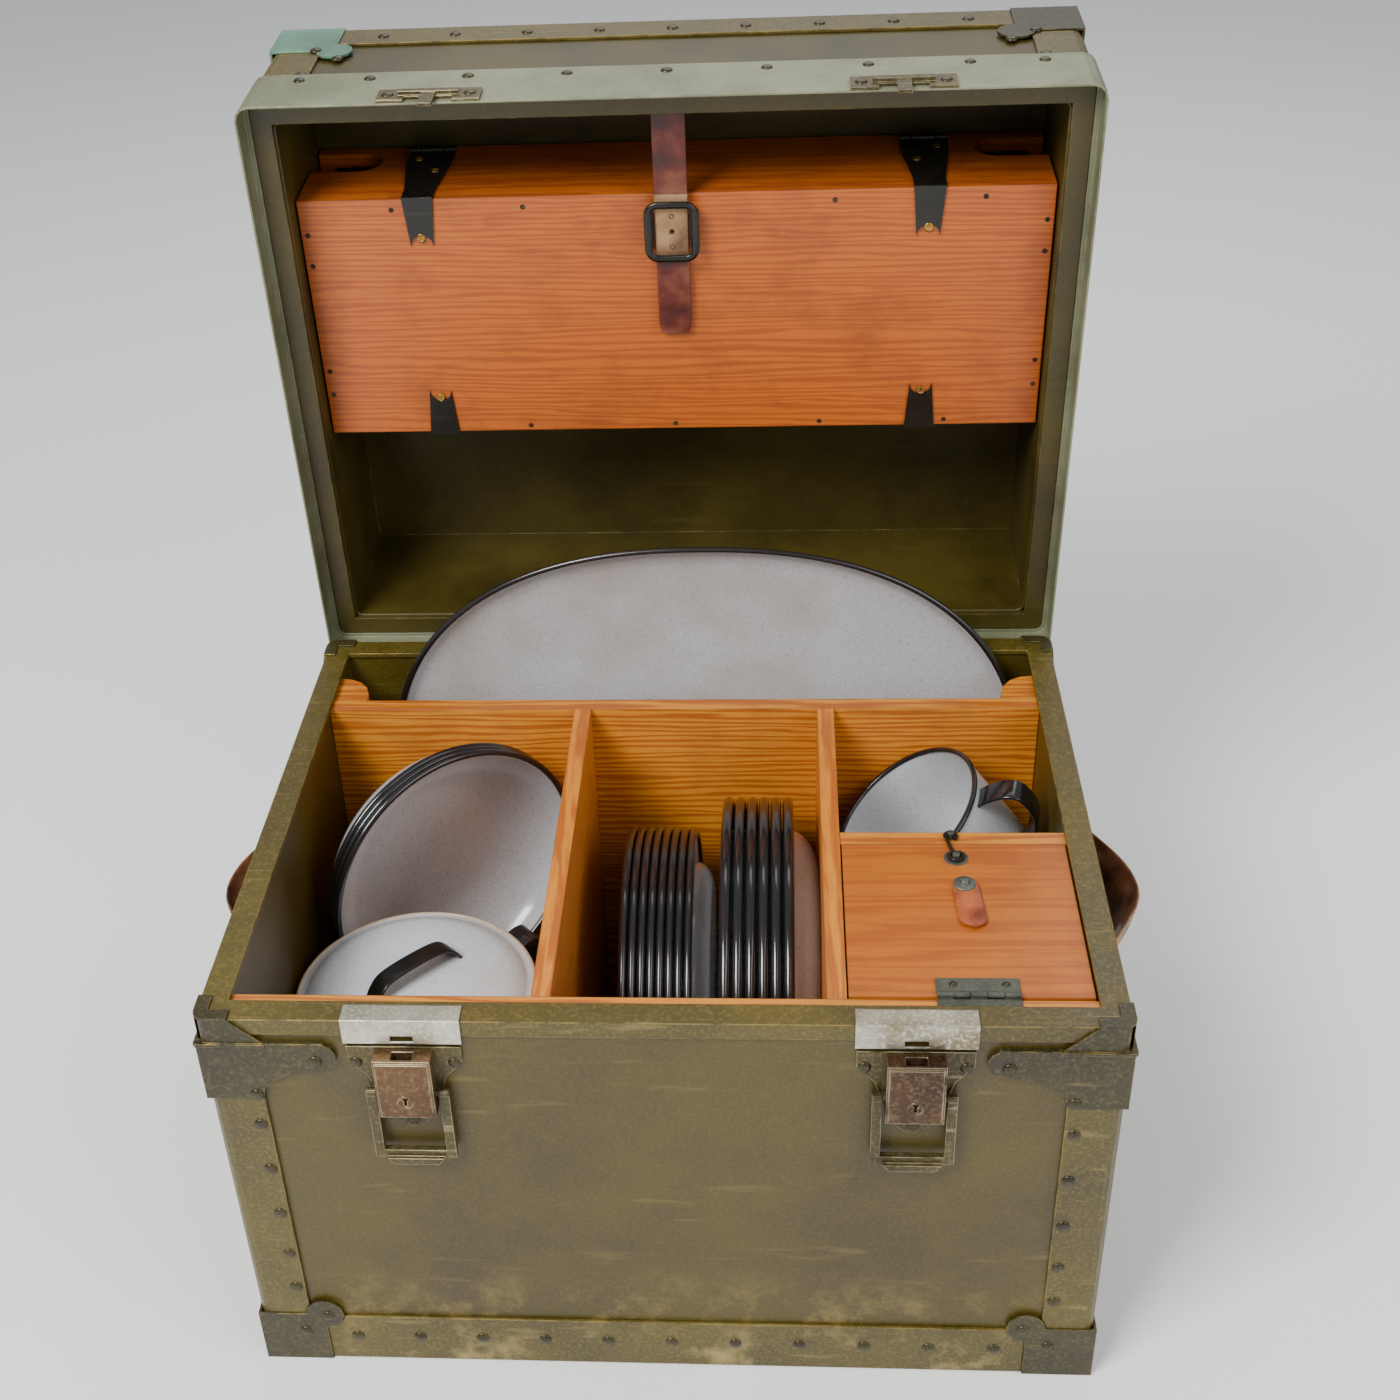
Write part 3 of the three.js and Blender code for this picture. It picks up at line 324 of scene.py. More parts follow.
@dataclass(frozen=True)
class Timber:
    """Sawn and varnished wood, with its grain along one axis."""

    name: str
    early: Colour
    late: Colour
    soiled: Colour
    along: Vector = field(default_factory=lambda: Vector((1.0, 0.0, 0.0)))
    bands: float = 75.0
    varnish: float = 0.25
    roughness: float = 0.48

    def material(self) -> bpy.types.Material:
        """Writes the wood out as nodes.

        Returns:
            The finished material.
        """
        material = bpy.data.materials.new(self.name)
        material.use_nodes = True
        material.diffuse_color = self.early
        nodes, links = material.node_tree.nodes, material.node_tree.links
        nodes.clear()

        place = nodes.new("ShaderNodeTexCoord")
        place.label = "place on the board"
        place.location = (-1700, 0)
        surface = nodes.new("ShaderNodeNewGeometry")
        surface.label = "true surface"
        surface.location = (-1700, -600)

        grain_frame = nodes.new("NodeFrame")
        grain_frame.label = "grain drawn out along the board"
        stretch = nodes.new("ShaderNodeMapping")
        stretch.label = "long fibres"
        across = 1.0
        lengthways = 0.07
        stretch.inputs["Scale"].default_value = [across + (lengthways - across) * abs(c) for c in self.along]
        waver = nodes.new("ShaderNodeTexNoise")
        waver.label = "wavering growth"
        waver.inputs["Scale"].default_value = 14.0
        waver.inputs["Detail"].default_value = 4.0
        bend = nodes.new("ShaderNodeMix")
        bend.label = "bent fibres"
        bend.data_type = "VECTOR"
        bend.inputs[0].default_value = 0.05
        rings = nodes.new("ShaderNodeTexWave")
        rings.label = "growth rings"
        rings.wave_type = "RINGS"
        rings.rings_direction = "SPHERICAL"
        rings.inputs["Scale"].default_value = self.bands
        rings.inputs["Distortion"].default_value = 5.0
        rings.inputs["Detail"].default_value = 3.0
        rings.inputs["Detail Scale"].default_value = 2.4
        fibres = nodes.new("ShaderNodeTexNoise")
        fibres.label = "fine fibres"
        fibres.inputs["Scale"].default_value = 620.0
        fibres.inputs["Detail"].default_value = 4.0
        ring_ramp = nodes.new("ShaderNodeValToRGB")
        ring_ramp.label = "early to late wood"
        ring_ramp.color_ramp.elements[0].position = 0.25
        ring_ramp.color_ramp.elements[0].color = self.early
        ring_ramp.color_ramp.elements[1].position = 0.95
        ring_ramp.color_ramp.elements[1].color = self.late
        fibre_range = nodes.new("ShaderNodeMapRange")
        fibre_range.label = "fibre strength"
        fibre_range.inputs["From Min"].default_value = 0.45
        fibre_range.inputs["From Max"].default_value = 0.8
        fibre_range.inputs["To Max"].default_value = 0.5
        fibre_mix = nodes.new("ShaderNodeMix")
        fibre_mix.label = "wood with fibres"
        fibre_mix.data_type = "RGBA"
        fibre_mix.inputs[7].default_value = self.late
        for column, node in enumerate((
                stretch, waver, bend, rings,
                fibres, ring_ramp, fibre_range, fibre_mix)):
            node.parent = grain_frame
            node.location = (COLUMN_WIDTH * column, -ROW_HEIGHT * 0)
        links.new(place.outputs["Object"], stretch.inputs["Vector"])
        links.new(stretch.outputs["Vector"], waver.inputs["Vector"])
        links.new(stretch.outputs["Vector"], bend.inputs[4])
        links.new(waver.outputs["Color"], bend.inputs[5])
        links.new(bend.outputs[1], rings.inputs["Vector"])
        links.new(stretch.outputs["Vector"], fibres.inputs["Vector"])
        links.new(rings.outputs["Fac"], ring_ramp.inputs["Fac"])
        links.new(fibres.outputs["Fac"], fibre_range.inputs["Value"])
        links.new(fibre_range.outputs["Result"], fibre_mix.inputs[0])
        links.new(ring_ramp.outputs["Color"], fibre_mix.inputs[6])

        soil_frame = nodes.new("NodeFrame")
        soil_frame.label = "handling dirt in patches and on edges"
        patches = nodes.new("ShaderNodeTexNoise")
        patches.label = "soiled places"
        patches.inputs["Scale"].default_value = 17.0
        patches.inputs["Detail"].default_value = 8.0
        patches.inputs["Roughness"].default_value = 0.66
        patch_range = nodes.new("ShaderNodeMapRange")
        patch_range.label = "soil threshold"
        patch_range.inputs["From Min"].default_value = 0.5
        patch_range.inputs["From Max"].default_value = 0.85
        patch_range.inputs["To Max"].default_value = 0.75
        rounding = nodes.new("ShaderNodeBevel")
        rounding.label = "eased edge"
        rounding.samples = 4
        rounding.inputs["Radius"].default_value = 1.4 * MM
        turn = nodes.new("ShaderNodeVectorMath")
        turn.label = "how far the edge turns"
        turn.operation = "DOT_PRODUCT"
        sharp = nodes.new("ShaderNodeMapRange")
        sharp.label = "edge strength"
        sharp.inputs["From Min"].default_value = 0.995
        sharp.inputs["From Max"].default_value = 0.8
        sharp.inputs["To Max"].default_value = 0.6
        soil = nodes.new("ShaderNodeMath")
        soil.label = "all the dirt"
        soil.operation = "MAXIMUM"
        soil_mix = nodes.new("ShaderNodeMix")
        soil_mix.label = "soiled wood"
        soil_mix.data_type = "RGBA"
        soil_mix.inputs[7].default_value = self.soiled
        for column, node in enumerate((patches, patch_range, rounding, turn, sharp, soil, soil_mix)):
            node.parent = soil_frame
            node.location = (COLUMN_WIDTH * column, -ROW_HEIGHT * 1)
        links.new(place.outputs["Object"], patches.inputs["Vector"])
        links.new(patches.outputs["Fac"], patch_range.inputs["Value"])
        links.new(rounding.outputs["Normal"], turn.inputs[0])
        links.new(surface.outputs["Normal"], turn.inputs[1])
        links.new(turn.outputs["Value"], sharp.inputs["Value"])
        links.new(patch_range.outputs["Result"], soil.inputs[0])
        links.new(sharp.outputs["Result"], soil.inputs[1])
        links.new(soil.outputs["Value"], soil_mix.inputs[0])
        links.new(fibre_mix.outputs[2], soil_mix.inputs[6])

        varnish_frame = nodes.new("NodeFrame")
        varnish_frame.label = "varnish over raised grain"
        gloss = nodes.new("ShaderNodeMapRange")
        gloss.label = "patchy varnish"
        gloss.inputs["To Min"].default_value = self.roughness - 0.1
        gloss.inputs["To Max"].default_value = self.roughness + 0.15
        relief = nodes.new("ShaderNodeBump")
        relief.label = "raised grain"
        relief.inputs["Strength"].default_value = 0.25
        relief.inputs["Distance"].default_value = 0.3 * MM
        shader = nodes.new("ShaderNodeBsdfPrincipled")
        shader.label = "varnished wood"
        shader.inputs["Coat Weight"].default_value = self.varnish
        shader.inputs["Coat Roughness"].default_value = 0.3
        output = nodes.new("ShaderNodeOutputMaterial")
        output.label = "finish"
        for column, node in enumerate((gloss, relief, shader, output)):
            node.parent = varnish_frame
            node.location = (COLUMN_WIDTH * column, -ROW_HEIGHT * 2)
        links.new(patches.outputs["Fac"], gloss.inputs["Value"])
        links.new(fibre_range.outputs["Result"], relief.inputs["Height"])
        links.new(rounding.outputs["Normal"], relief.inputs["Normal"])
        links.new(soil_mix.outputs[2], shader.inputs["Base Color"])
        links.new(gloss.outputs["Result"], shader.inputs["Roughness"])
        links.new(relief.outputs["Normal"], shader.inputs["Normal"])
        links.new(shader.outputs["BSDF"], output.inputs["Surface"])
        return material


@dataclass(frozen=True)
class Leather:
    """Harness leather: its tone, the dark of its creases and the tan where it is rubbed."""

    name: str
    tone: Colour
    crease: Colour
    rubbed: Colour
    roughness: float = 0.5

    def material(self) -> bpy.types.Material:
        """Writes the leather out as nodes.

        Returns:
            The finished material.
        """
        material = bpy.data.materials.new(self.name)
        material.use_nodes = True
        material.diffuse_color = self.tone
        nodes, links = material.node_tree.nodes, material.node_tree.links
        nodes.clear()

        place = nodes.new("ShaderNodeTexCoord")
        place.label = "place on the hide"
        place.location = (-1500, 0)

        hide_frame = nodes.new("NodeFrame")
        hide_frame.label = "mottled hide, dark in its creases"
        mottle = nodes.new("ShaderNodeTexNoise")
        mottle.label = "mottling"
        mottle.inputs["Scale"].default_value = 48.0
        mottle.inputs["Detail"].default_value = 8.0
        mottle_ramp = nodes.new("ShaderNodeValToRGB")
        mottle_ramp.label = "crease, tone and rubbed tan"
        mottle_ramp.color_ramp.elements[0].position = 0.34
        mottle_ramp.color_ramp.elements[0].color = self.crease
        mottle_ramp.color_ramp.elements[1].position = 0.7
        mottle_ramp.color_ramp.elements[1].color = self.rubbed
        middle = mottle_ramp.color_ramp.elements.new(0.5)
        middle.color = self.tone
        pores = nodes.new("ShaderNodeTexVoronoi")
        pores.label = "pebbled pores"
        pores.feature = "DISTANCE_TO_EDGE"
        pores.inputs["Scale"].default_value = 900.0
        pore_range = nodes.new("ShaderNodeMapRange")
        pore_range.label = "pore depth"
        pore_range.inputs["From Max"].default_value = 0.12
        pore_range.inputs["To Min"].default_value = 0.55
        pore_range.inputs["To Max"].default_value = 0.0
        pore_mix = nodes.new("ShaderNodeMix")
        pore_mix.label = "darkened pores"
        pore_mix.data_type = "RGBA"
        pore_mix.inputs[7].default_value = self.crease
        for column, node in enumerate((mottle, mottle_ramp, pores, pore_range, pore_mix)):
            node.parent = hide_frame
            node.location = (COLUMN_WIDTH * column, -ROW_HEIGHT * 0)
        links.new(place.outputs["Object"], mottle.inputs["Vector"])
        links.new(mottle.outputs["Fac"], mottle_ramp.inputs["Fac"])
        links.new(place.outputs["Object"], pores.inputs["Vector"])
        links.new(pores.outputs["Distance"], pore_range.inputs["Value"])
        links.new(pore_range.outputs["Result"], pore_mix.inputs[0])
        links.new(mottle_ramp.outputs["Color"], pore_mix.inputs[6])

        shine_frame = nodes.new("NodeFrame")
        shine_frame.label = "waxed shine and pebble"
        gloss = nodes.new("ShaderNodeMapRange")
        gloss.label = "patchy wax"
        gloss.inputs["To Min"].default_value = self.roughness - 0.12
        gloss.inputs["To Max"].default_value = self.roughness + 0.15
        wrinkles = nodes.new("ShaderNodeBump")
        wrinkles.label = "soft wrinkles"
        wrinkles.inputs["Strength"].default_value = 0.35
        wrinkles.inputs["Distance"].default_value = 0.8 * MM
        pebble = nodes.new("ShaderNodeBump")
        pebble.label = "pebble"
        pebble.inputs["Strength"].default_value = 0.35
        pebble.inputs["Distance"].default_value = 0.2 * MM
        shader = nodes.new("ShaderNodeBsdfPrincipled")
        shader.label = "leather"
        shader.inputs["Coat Weight"].default_value = 0.12
        output = nodes.new("ShaderNodeOutputMaterial")
        output.label = "finish"
        for column, node in enumerate((gloss, wrinkles, pebble, shader, output)):
            node.parent = shine_frame
            node.location = (COLUMN_WIDTH * column, -ROW_HEIGHT * 1)
        links.new(mottle.outputs["Fac"], gloss.inputs["Value"])
        links.new(mottle.outputs["Fac"], wrinkles.inputs["Height"])
        links.new(pores.outputs["Distance"], pebble.inputs["Height"])
        links.new(wrinkles.outputs["Normal"], pebble.inputs["Normal"])
        links.new(pore_mix.outputs[2], shader.inputs["Base Color"])
        links.new(gloss.outputs["Result"], shader.inputs["Roughness"])
        links.new(pebble.outputs["Normal"], shader.inputs["Normal"])
        links.new(shader.outputs["BSDF"], output.inputs["Surface"])
        return material


@dataclass(frozen=True)
class Enamel:
    """Glassy enamel on pressed steel, with fine specks and faint stains."""

    name: str
    tone: Colour
    speck: Colour
    stain: Colour
    specks: float = 0.5
    roughness: float = 0.16

    def material(self) -> bpy.types.Material:
        """Writes the enamel out as nodes.

        Returns:
            The finished material.
        """
        material = bpy.data.materials.new(self.name)
        material.use_nodes = True
        material.diffuse_color = self.tone
        nodes, links = material.node_tree.nodes, material.node_tree.links
        nodes.clear()

        place = nodes.new("ShaderNodeTexCoord")
        place.label = "place on the dish"
        place.location = (-1500, 0)

        speck_frame = nodes.new("NodeFrame")
        speck_frame.label = "specks fired into the enamel"
        fine = nodes.new("ShaderNodeTexNoise")
        fine.label = "fine specks"
        fine.inputs["Scale"].default_value = 520.0
        fine.inputs["Detail"].default_value = 4.0
        fine.inputs["Roughness"].default_value = 0.7
        fine_range = nodes.new("ShaderNodeMapRange")
        fine_range.label = "speck threshold"
        fine_range.inputs["From Min"].default_value = 0.52
        fine_range.inputs["From Max"].default_value = 0.68
        fine_range.inputs["To Max"].default_value = self.specks
        speck_mix = nodes.new("ShaderNodeMix")
        speck_mix.label = "specked enamel"
        speck_mix.data_type = "RGBA"
        speck_mix.inputs[6].default_value = self.tone
        speck_mix.inputs[7].default_value = self.speck
        for column, node in enumerate((fine, fine_range, speck_mix)):
            node.parent = speck_frame
            node.location = (COLUMN_WIDTH * column, -ROW_HEIGHT * 0)
        links.new(place.outputs["Object"], fine.inputs["Vector"])
        links.new(fine.outputs["Fac"], fine_range.inputs["Value"])
        links.new(fine_range.outputs["Result"], speck_mix.inputs[0])

        stain_frame = nodes.new("NodeFrame")
        stain_frame.label = "faint stains and uneven firing"
        cloud = nodes.new("ShaderNodeTexNoise")
        cloud.label = "cloudy stains"
        cloud.inputs["Scale"].default_value = 13.0
        cloud.inputs["Detail"].default_value = 6.0
        cloud_range = nodes.new("ShaderNodeMapRange")
        cloud_range.label = "stain threshold"
        cloud_range.inputs["From Min"].default_value = 0.48
        cloud_range.inputs["From Max"].default_value = 0.8
        cloud_range.inputs["To Max"].default_value = 0.7
        stain_mix = nodes.new("ShaderNodeMix")
        stain_mix.label = "stained enamel"
        stain_mix.data_type = "RGBA"
        stain_mix.inputs[7].default_value = self.stain
        gloss = nodes.new("ShaderNodeMapRange")
        gloss.label = "dulled in places"
        gloss.inputs["To Min"].default_value = self.roughness - 0.06
        gloss.inputs["To Max"].default_value = self.roughness + 0.2
        ripple = nodes.new("ShaderNodeBump")
        ripple.label = "orange peel of the glaze"
        ripple.inputs["Strength"].default_value = 0.08
        ripple.inputs["Distance"].default_value = 0.3 * MM
        shader = nodes.new("ShaderNodeBsdfPrincipled")
        shader.label = "enamel"
        shader.inputs["Coat Weight"].default_value = 0.45
        shader.inputs["Coat Roughness"].default_value = 0.08
        output = nodes.new("ShaderNodeOutputMaterial")
        output.label = "finish"
        for column, node in enumerate((cloud, cloud_range, stain_mix, gloss, ripple, shader, output)):
            node.parent = stain_frame
            node.location = (COLUMN_WIDTH * column, -ROW_HEIGHT * 1)
        links.new(place.outputs["Object"], cloud.inputs["Vector"])
        links.new(cloud.outputs["Fac"], cloud_range.inputs["Value"])
        links.new(cloud_range.outputs["Result"], stain_mix.inputs[0])
        links.new(speck_mix.outputs[2], stain_mix.inputs[6])
        links.new(cloud.outputs["Fac"], gloss.inputs["Value"])
        links.new(fine.outputs["Fac"], ripple.inputs["Height"])
        links.new(stain_mix.outputs[2], shader.inputs["Base Color"])
        links.new(gloss.outputs["Result"], shader.inputs["Roughness"])
        links.new(ripple.outputs["Normal"], shader.inputs["Normal"])
        links.new(shader.outputs["BSDF"], output.inputs["Surface"])
        return material


def made(finish: "Paint | Timber | Leather | Enamel") -> bpy.types.Material:
    """A field whose default is this finish's material, written out when Finishes is made."""
    return field(default_factory=finish.material)


@dataclass
class Finishes:
    """Every finish of the footlocker, made once."""

    fibre: bpy.types.Material = made(Paint(
        "olive_fibre", paint_chip(76, 64, 14), paint_chip(62, 50, 10), paint_chip(126, 104, 48),
        pale=paint_chip(150, 128, 66), roughness=0.38, wear=0.6, scuff_top=0.1,
        speckle=0.12, scratches=0.18, bump=0.2))
    # A darker copy of the olive coat for the lid: its darker tone, patches and pale are painted shade for the
    # inside of the open lid; its lighter wear and fewer scratches are the lid's own.
    lid_inside: bpy.types.Material = made(Paint(
        "olive_lid", paint_chip(72, 62, 16), paint_chip(52, 44, 9), paint_chip(132, 110, 52),
        pale=paint_chip(116, 100, 52), roughness=0.4, wear=0.4, speckle=0.12,
        scratches=0.1, bump=0.2))
    binding: bpy.types.Material = made(Paint(
        "binding_steel", paint_chip(84, 72, 18), paint_chip(64, 54, 11), paint_chip(170, 144, 78),
        pale=paint_chip(160, 138, 78), roughness=0.4, bare_metal=0.4, wear=0.8, scuff_top=0.07))
    cap: bpy.types.Material = made(Paint(
        "cap_steel", paint_chip(56, 50, 20), paint_chip(38, 33, 12), paint_chip(150, 128, 70),
        pale=paint_chip(134, 120, 70), roughness=0.4, metal=0.1, bare_metal=0.6, wear=0.65))
    cap_teal: bpy.types.Material = made(Paint(
        "teal_cap_steel", paint_chip(96, 140, 118), paint_chip(64, 96, 78), paint_chip(150, 160, 120),
        pale=paint_chip(140, 160, 130), roughness=0.4, metal=0.1, bare_metal=0.6, wear=0.5))
    valance: bpy.types.Material = made(Paint(
        "valance_steel", paint_chip(128, 132, 104), paint_chip(98, 100, 72), paint_chip(158, 158, 122),
        pale=paint_chip(160, 162, 132), roughness=0.42, metal=0.1, bare_metal=0.5, wear=0.5))
    bright: bpy.types.Material = made(Paint(
        "worn_bright_steel", paint_chip(206, 204, 186), paint_chip(128, 116, 86), paint_chip(235, 232, 218),
        pale=paint_chip(240, 238, 226), roughness=0.34, metal=0.8, bare_metal=1.0, wear=0.9,
        speckle=0.6))
    latch: bpy.types.Material = made(Paint(
        "latch_steel", paint_chip(80, 70, 36), paint_chip(48, 40, 18), paint_chip(205, 192, 150),
        pale=paint_chip(170, 154, 110), roughness=0.4, metal=0.35, bare_metal=0.9, wear=0.95,
        edge=0.8 * MM, scratches=0.6))
    lock: bpy.types.Material = made(Paint(
        "lock_case_steel", paint_chip(98, 70, 42), paint_chip(60, 38, 24), paint_chip(214, 196, 158),
        pale=paint_chip(176, 150, 112), roughness=0.36, metal=0.5, bare_metal=1.0, wear=1.0,
        edge=1.1 * MM, scratches=0.5))
    iron: bpy.types.Material = made(Paint(
        "black_japan_iron", paint_chip(34, 32, 26), paint_chip(16, 15, 12), paint_chip(150, 146, 132),
        pale=paint_chip(92, 86, 68), roughness=0.28, metal=0.2, bare_metal=0.8, wear=0.22,
        edge=0.4 * MM, speckle=0.05, scratches=0.12))
    grey_hinge: bpy.types.Material = made(Paint(
        "grey_hinge_steel", paint_chip(92, 98, 88), paint_chip(58, 58, 46), paint_chip(170, 168, 148),
        pale=paint_chip(140, 140, 120), roughness=0.38, metal=0.5, bare_metal=0.9, wear=0.6,
        edge=0.5 * MM))
    rivet: bpy.types.Material = made(Paint(
        "rivet_steel", paint_chip(62, 54, 28), paint_chip(36, 31, 15), paint_chip(150, 132, 80),
        pale=paint_chip(112, 98, 56), roughness=0.3, metal=0.3, bare_metal=0.8, wear=0.35,
        edge=0.5 * MM))
    # Dark iron for the till's nails; on the strap's holes the same dark is painted shade for the inside of
    # each hole.
    nail: bpy.types.Material = made(Paint(
        "nail_iron", paint_chip(52, 34, 20), paint_chip(24, 15, 9), paint_chip(120, 92, 60),
        roughness=0.5, metal=0.4, bare_metal=0.7, wear=0.4, edge=0.4 * MM))
    brass: bpy.types.Material = made(Paint(
        "ringed_brass", paint_chip(186, 140, 62), paint_chip(126, 88, 34), paint_chip(232, 200, 120),
        pale=paint_chip(226, 190, 110), roughness=0.3, metal=0.9, bare_metal=1.0, wear=0.7,
        edge=0.5 * MM))
    pine: bpy.types.Material = made(Timber(
        "rack_pine", paint_chip(214, 136, 36), paint_chip(170, 90, 18), paint_chip(132, 80, 34)))
    pine_across: bpy.types.Material = made(Timber(
        "rack_pine_dividers", paint_chip(216, 134, 36), paint_chip(178, 94, 20), paint_chip(132, 80, 34),
        along=Vector((0.0, 1.0, 0.0))))
    till_wood: bpy.types.Material = made(Timber(
        "till_softwood", paint_chip(186, 92, 4), paint_chip(158, 70, 3), paint_chip(104, 44, 4),
        bands=85.0, varnish=0.35))
    ply: bpy.types.Material = made(Timber(
        "utensil_ply", paint_chip(184, 100, 12), paint_chip(164, 82, 8), paint_chip(124, 60, 14),
        bands=60.0))
    handle_leather: bpy.types.Material = made(Leather(
        "handle_leather", paint_chip(134, 82, 54), paint_chip(70, 36, 22),
        paint_chip(176, 118, 80)))
    strap_leather: bpy.types.Material = made(Leather(
        "strap_leather", paint_chip(96, 30, 20), paint_chip(56, 16, 10), paint_chip(128, 74, 48)))
    tab_leather: bpy.types.Material = made(Leather(
        "tab_leather", paint_chip(172, 84, 40), paint_chip(108, 46, 20), paint_chip(206, 120, 66)))
    worn_leather: bpy.types.Material = made(Leather(
        "worn_tan_leather", paint_chip(150, 112, 74), paint_chip(96, 66, 42), paint_chip(182, 146, 104),
        roughness=0.62))
    thread: bpy.types.Material = made(Leather(
        "waxed_thread", paint_chip(196, 160, 112), paint_chip(140, 104, 66),
        paint_chip(218, 188, 142)))
    enamel: bpy.types.Material = made(Enamel(
        "grey_enamel", paint_chip(186, 188, 190), paint_chip(116, 116, 118),
        paint_chip(158, 148, 134)))
    pale_enamel: bpy.types.Material = made(Enamel(
        "pale_enamel", paint_chip(206, 212, 216), paint_chip(140, 146, 150),
        paint_chip(178, 172, 160)))
    black_enamel: bpy.types.Material = made(Enamel(
        "black_enamel", paint_chip(22, 21, 22), paint_chip(44, 42, 40), paint_chip(36, 32, 28),
        specks=0.3, roughness=0.14))
    tan_edge: bpy.types.Material = made(Enamel(
        "tan_rolled_edge", paint_chip(196, 176, 146), paint_chip(140, 116, 86), paint_chip(150, 124, 92),
        roughness=0.3))


# ---- making meshes -----------------------------------------------------------------------------
@dataclass
class Skin:
    """A mesh being made: its points, its faces and the finish number of each face."""

    points: list[Vector] = field(default_factory=list)
    faces: list[tuple[int, ...]] = field(default_factory=list)
    marks: list[int] = field(default_factory=list)

    def loft(self, rings: Sequence[Sequence[Vector]], mark: int = 0, looped: bool = False) -> None:
        """Joins rings of the same number of points into a skin.

        Args:
            rings: closed rings, one after another.
            mark: the finish number of its faces.
            looped: True joins the last ring to the first; False closes both ends with a face.
        """
        base, count = len(self.points), len(rings[0])
        for ring in rings:
            self.points.extend(Vector(p) for p in ring)
        spans = len(rings) if looped else len(rings) - 1
        for i in range(spans):
            a, b = base + i * count, base + (i + 1) % len(rings) * count
            for j in range(count):
                k = (j + 1) % count
                self._add((a + j, a + k, b + k, b + j), mark)
        if not looped:
            self._add(tuple(base + j for j in range(count)), mark)
            self._add(tuple(base + (len(rings) - 1) * count + j for j in range(count)), mark)

    def _add(self, face: tuple[int, ...], mark: int) -> None:
        """Adds one face with its finish number."""
        self.faces.append(face)
        self.marks.append(mark)

    def take(self, other: "Skin") -> None:
        """Adds another skin's faces to this one."""
        base = len(self.points)
        self.points += other.points
        self.faces += [tuple(base + v for v in f) for f in other.faces]
        self.marks += other.marks

    def moved(self, matrix: Matrix) -> "Skin":
        """The same skin, placed by a matrix."""
        return Skin([matrix @ p for p in self.points], list(self.faces), list(self.marks))

    def piece(self, name: str, *finishes: bpy.types.Material, crease: float = 38.0) -> bpy.types.Object:
        """Makes a Blender object of the skin, closed, with its faces pointing out.

        Args:
            name: the object's name.
            finishes: its materials, by finish number.
            crease: the angle in degrees above which an edge stays sharp.

        Returns:
            The object, linked to the scene.
        """
        mesh = bpy.data.meshes.new(name)
        mesh.from_pydata([tuple(p) for p in self.points], [], self.faces)
        for finish in finishes:
            mesh.materials.append(finish)
        mesh.polygons.foreach_set("material_index", self.marks)
        work = bmesh.new()
        work.from_mesh(mesh)
        bmesh.ops.remove_doubles(work, verts=work.verts, dist=0.004 * MM)
        bmesh.ops.recalc_face_normals(work, faces=work.faces)
        work.to_mesh(mesh)
        work.free()
        mesh.shade_smooth()
        mesh.set_sharp_from_angle(angle=math.radians(crease))
        item = bpy.data.objects.new(name, mesh)
        bpy.context.scene.collection.objects.link(item)
        return item


def arc(centre: tuple[float, float], radius: float, start: float, end: float, steps: int) -> Profile:
    """Points of an arc, both ends included.

    Args:
        centre: its middle.
        radius: its radius.
        start: first angle in degrees.
        end: last angle in degrees.
        steps: number of steps between them.

    Returns:
        The points in order.
    """
    angles = (math.radians(start + (end - start) * i / steps) for i in range(steps + 1))
    return [(centre[0] + radius * math.cos(a), centre[1] + radius * math.sin(a)) for a in angles]


def spun(profile: Profile, segments: int, mark: int = 0, stretch: float = 1.0, square: float = 2.0) -> Skin:
    """Turns a closed profile of radius and height about +Z.

    Args:
        profile: points of radius and height, in order round the section.
        segments: steps round the turn.
        mark: the finish number.
        stretch: how much longer it is along X.
        square: 2 for a round plan, more for one with fuller corners.

    Returns:
        The closed skin.
    """
    rings = []
    for i in range(segments):
        angle = 2 * math.pi * i / segments
        c, s = math.cos(angle), math.sin(angle)
        full = (abs(c) ** square + abs(s) ** square) ** (-1 / square)
        rings.append([Vector((r * full * c * stretch, r * full * s, h)) for r, h in profile])
    skin = Skin()
    skin.loft(rings, mark, looped=True)
    return skin


def swept(path: Sequence[Vector], section: Profile, up: Vector, mark: int = 0, looped: bool = False) -> Skin:
    """Carries a section along a path.

    Args:
        path: the points it follows.
        section: points across and above the path.
        up: roughly the way the section's second axis faces.
        mark: the finish number.
        looped: True where the path closes on itself.

    Returns:
        The closed skin.
    """
    rings = []
    for i, here in enumerate(path):
        before = path[i - 1] if looped or i > 0 else here
        after = path[(i + 1) % len(path)] if looped or i < len(path) - 1 else here
        ahead = (after - before).normalized()
        across = ahead.cross(up).normalized()
        above = across.cross(ahead)
        rings.append([here + across * a + above * b for a, b in section])
    skin = Skin()
    skin.loft(rings, mark, looped=looped)
    return skin


def rounded(half_width: float, half_height: float, radius: float, steps: int = 4) -> Profile:
    """A rectangle with round corners about the origin.

    Args:
        half_width: half its first side.
        half_height: half its second side.
        radius: radius of its corners.
        steps: steps in each corner.

    Returns:
        The points in order.
    """
    x, y = half_width - radius, half_height - radius
    corners = ((x, y, 0), (-x, y, 90), (-x, -y, 180), (x, -y, 270))
    return [p for cx, cy, start in corners for p in arc((cx, cy), radius, start, start + 90, steps)]


def smooth_path(knots: Sequence[Vector], steps: int) -> list[Vector]:
    """A smooth curve through the knots.

    Args:
        knots: the points it passes through.
        steps: steps between each pair of knots.

    Returns:
        Points along the curve, both ends included.
    """
    ends = [knots[0] * 2 - knots[1], *knots, knots[-1] * 2 - knots[-2]]
    curve = []
    for a, b, c, d in zip(ends, ends[1:], ends[2:], ends[3:]):
        for i in range(steps):
            t = i / steps
            curve.append(0.5 * (2 * b + (c - a) * t + (2 * a - 5 * b + 4 * c - d) * t ** 2
                                + (3 * b - a - 3 * c + d) * t ** 3))
    return [*curve, Vector(knots[-1])]


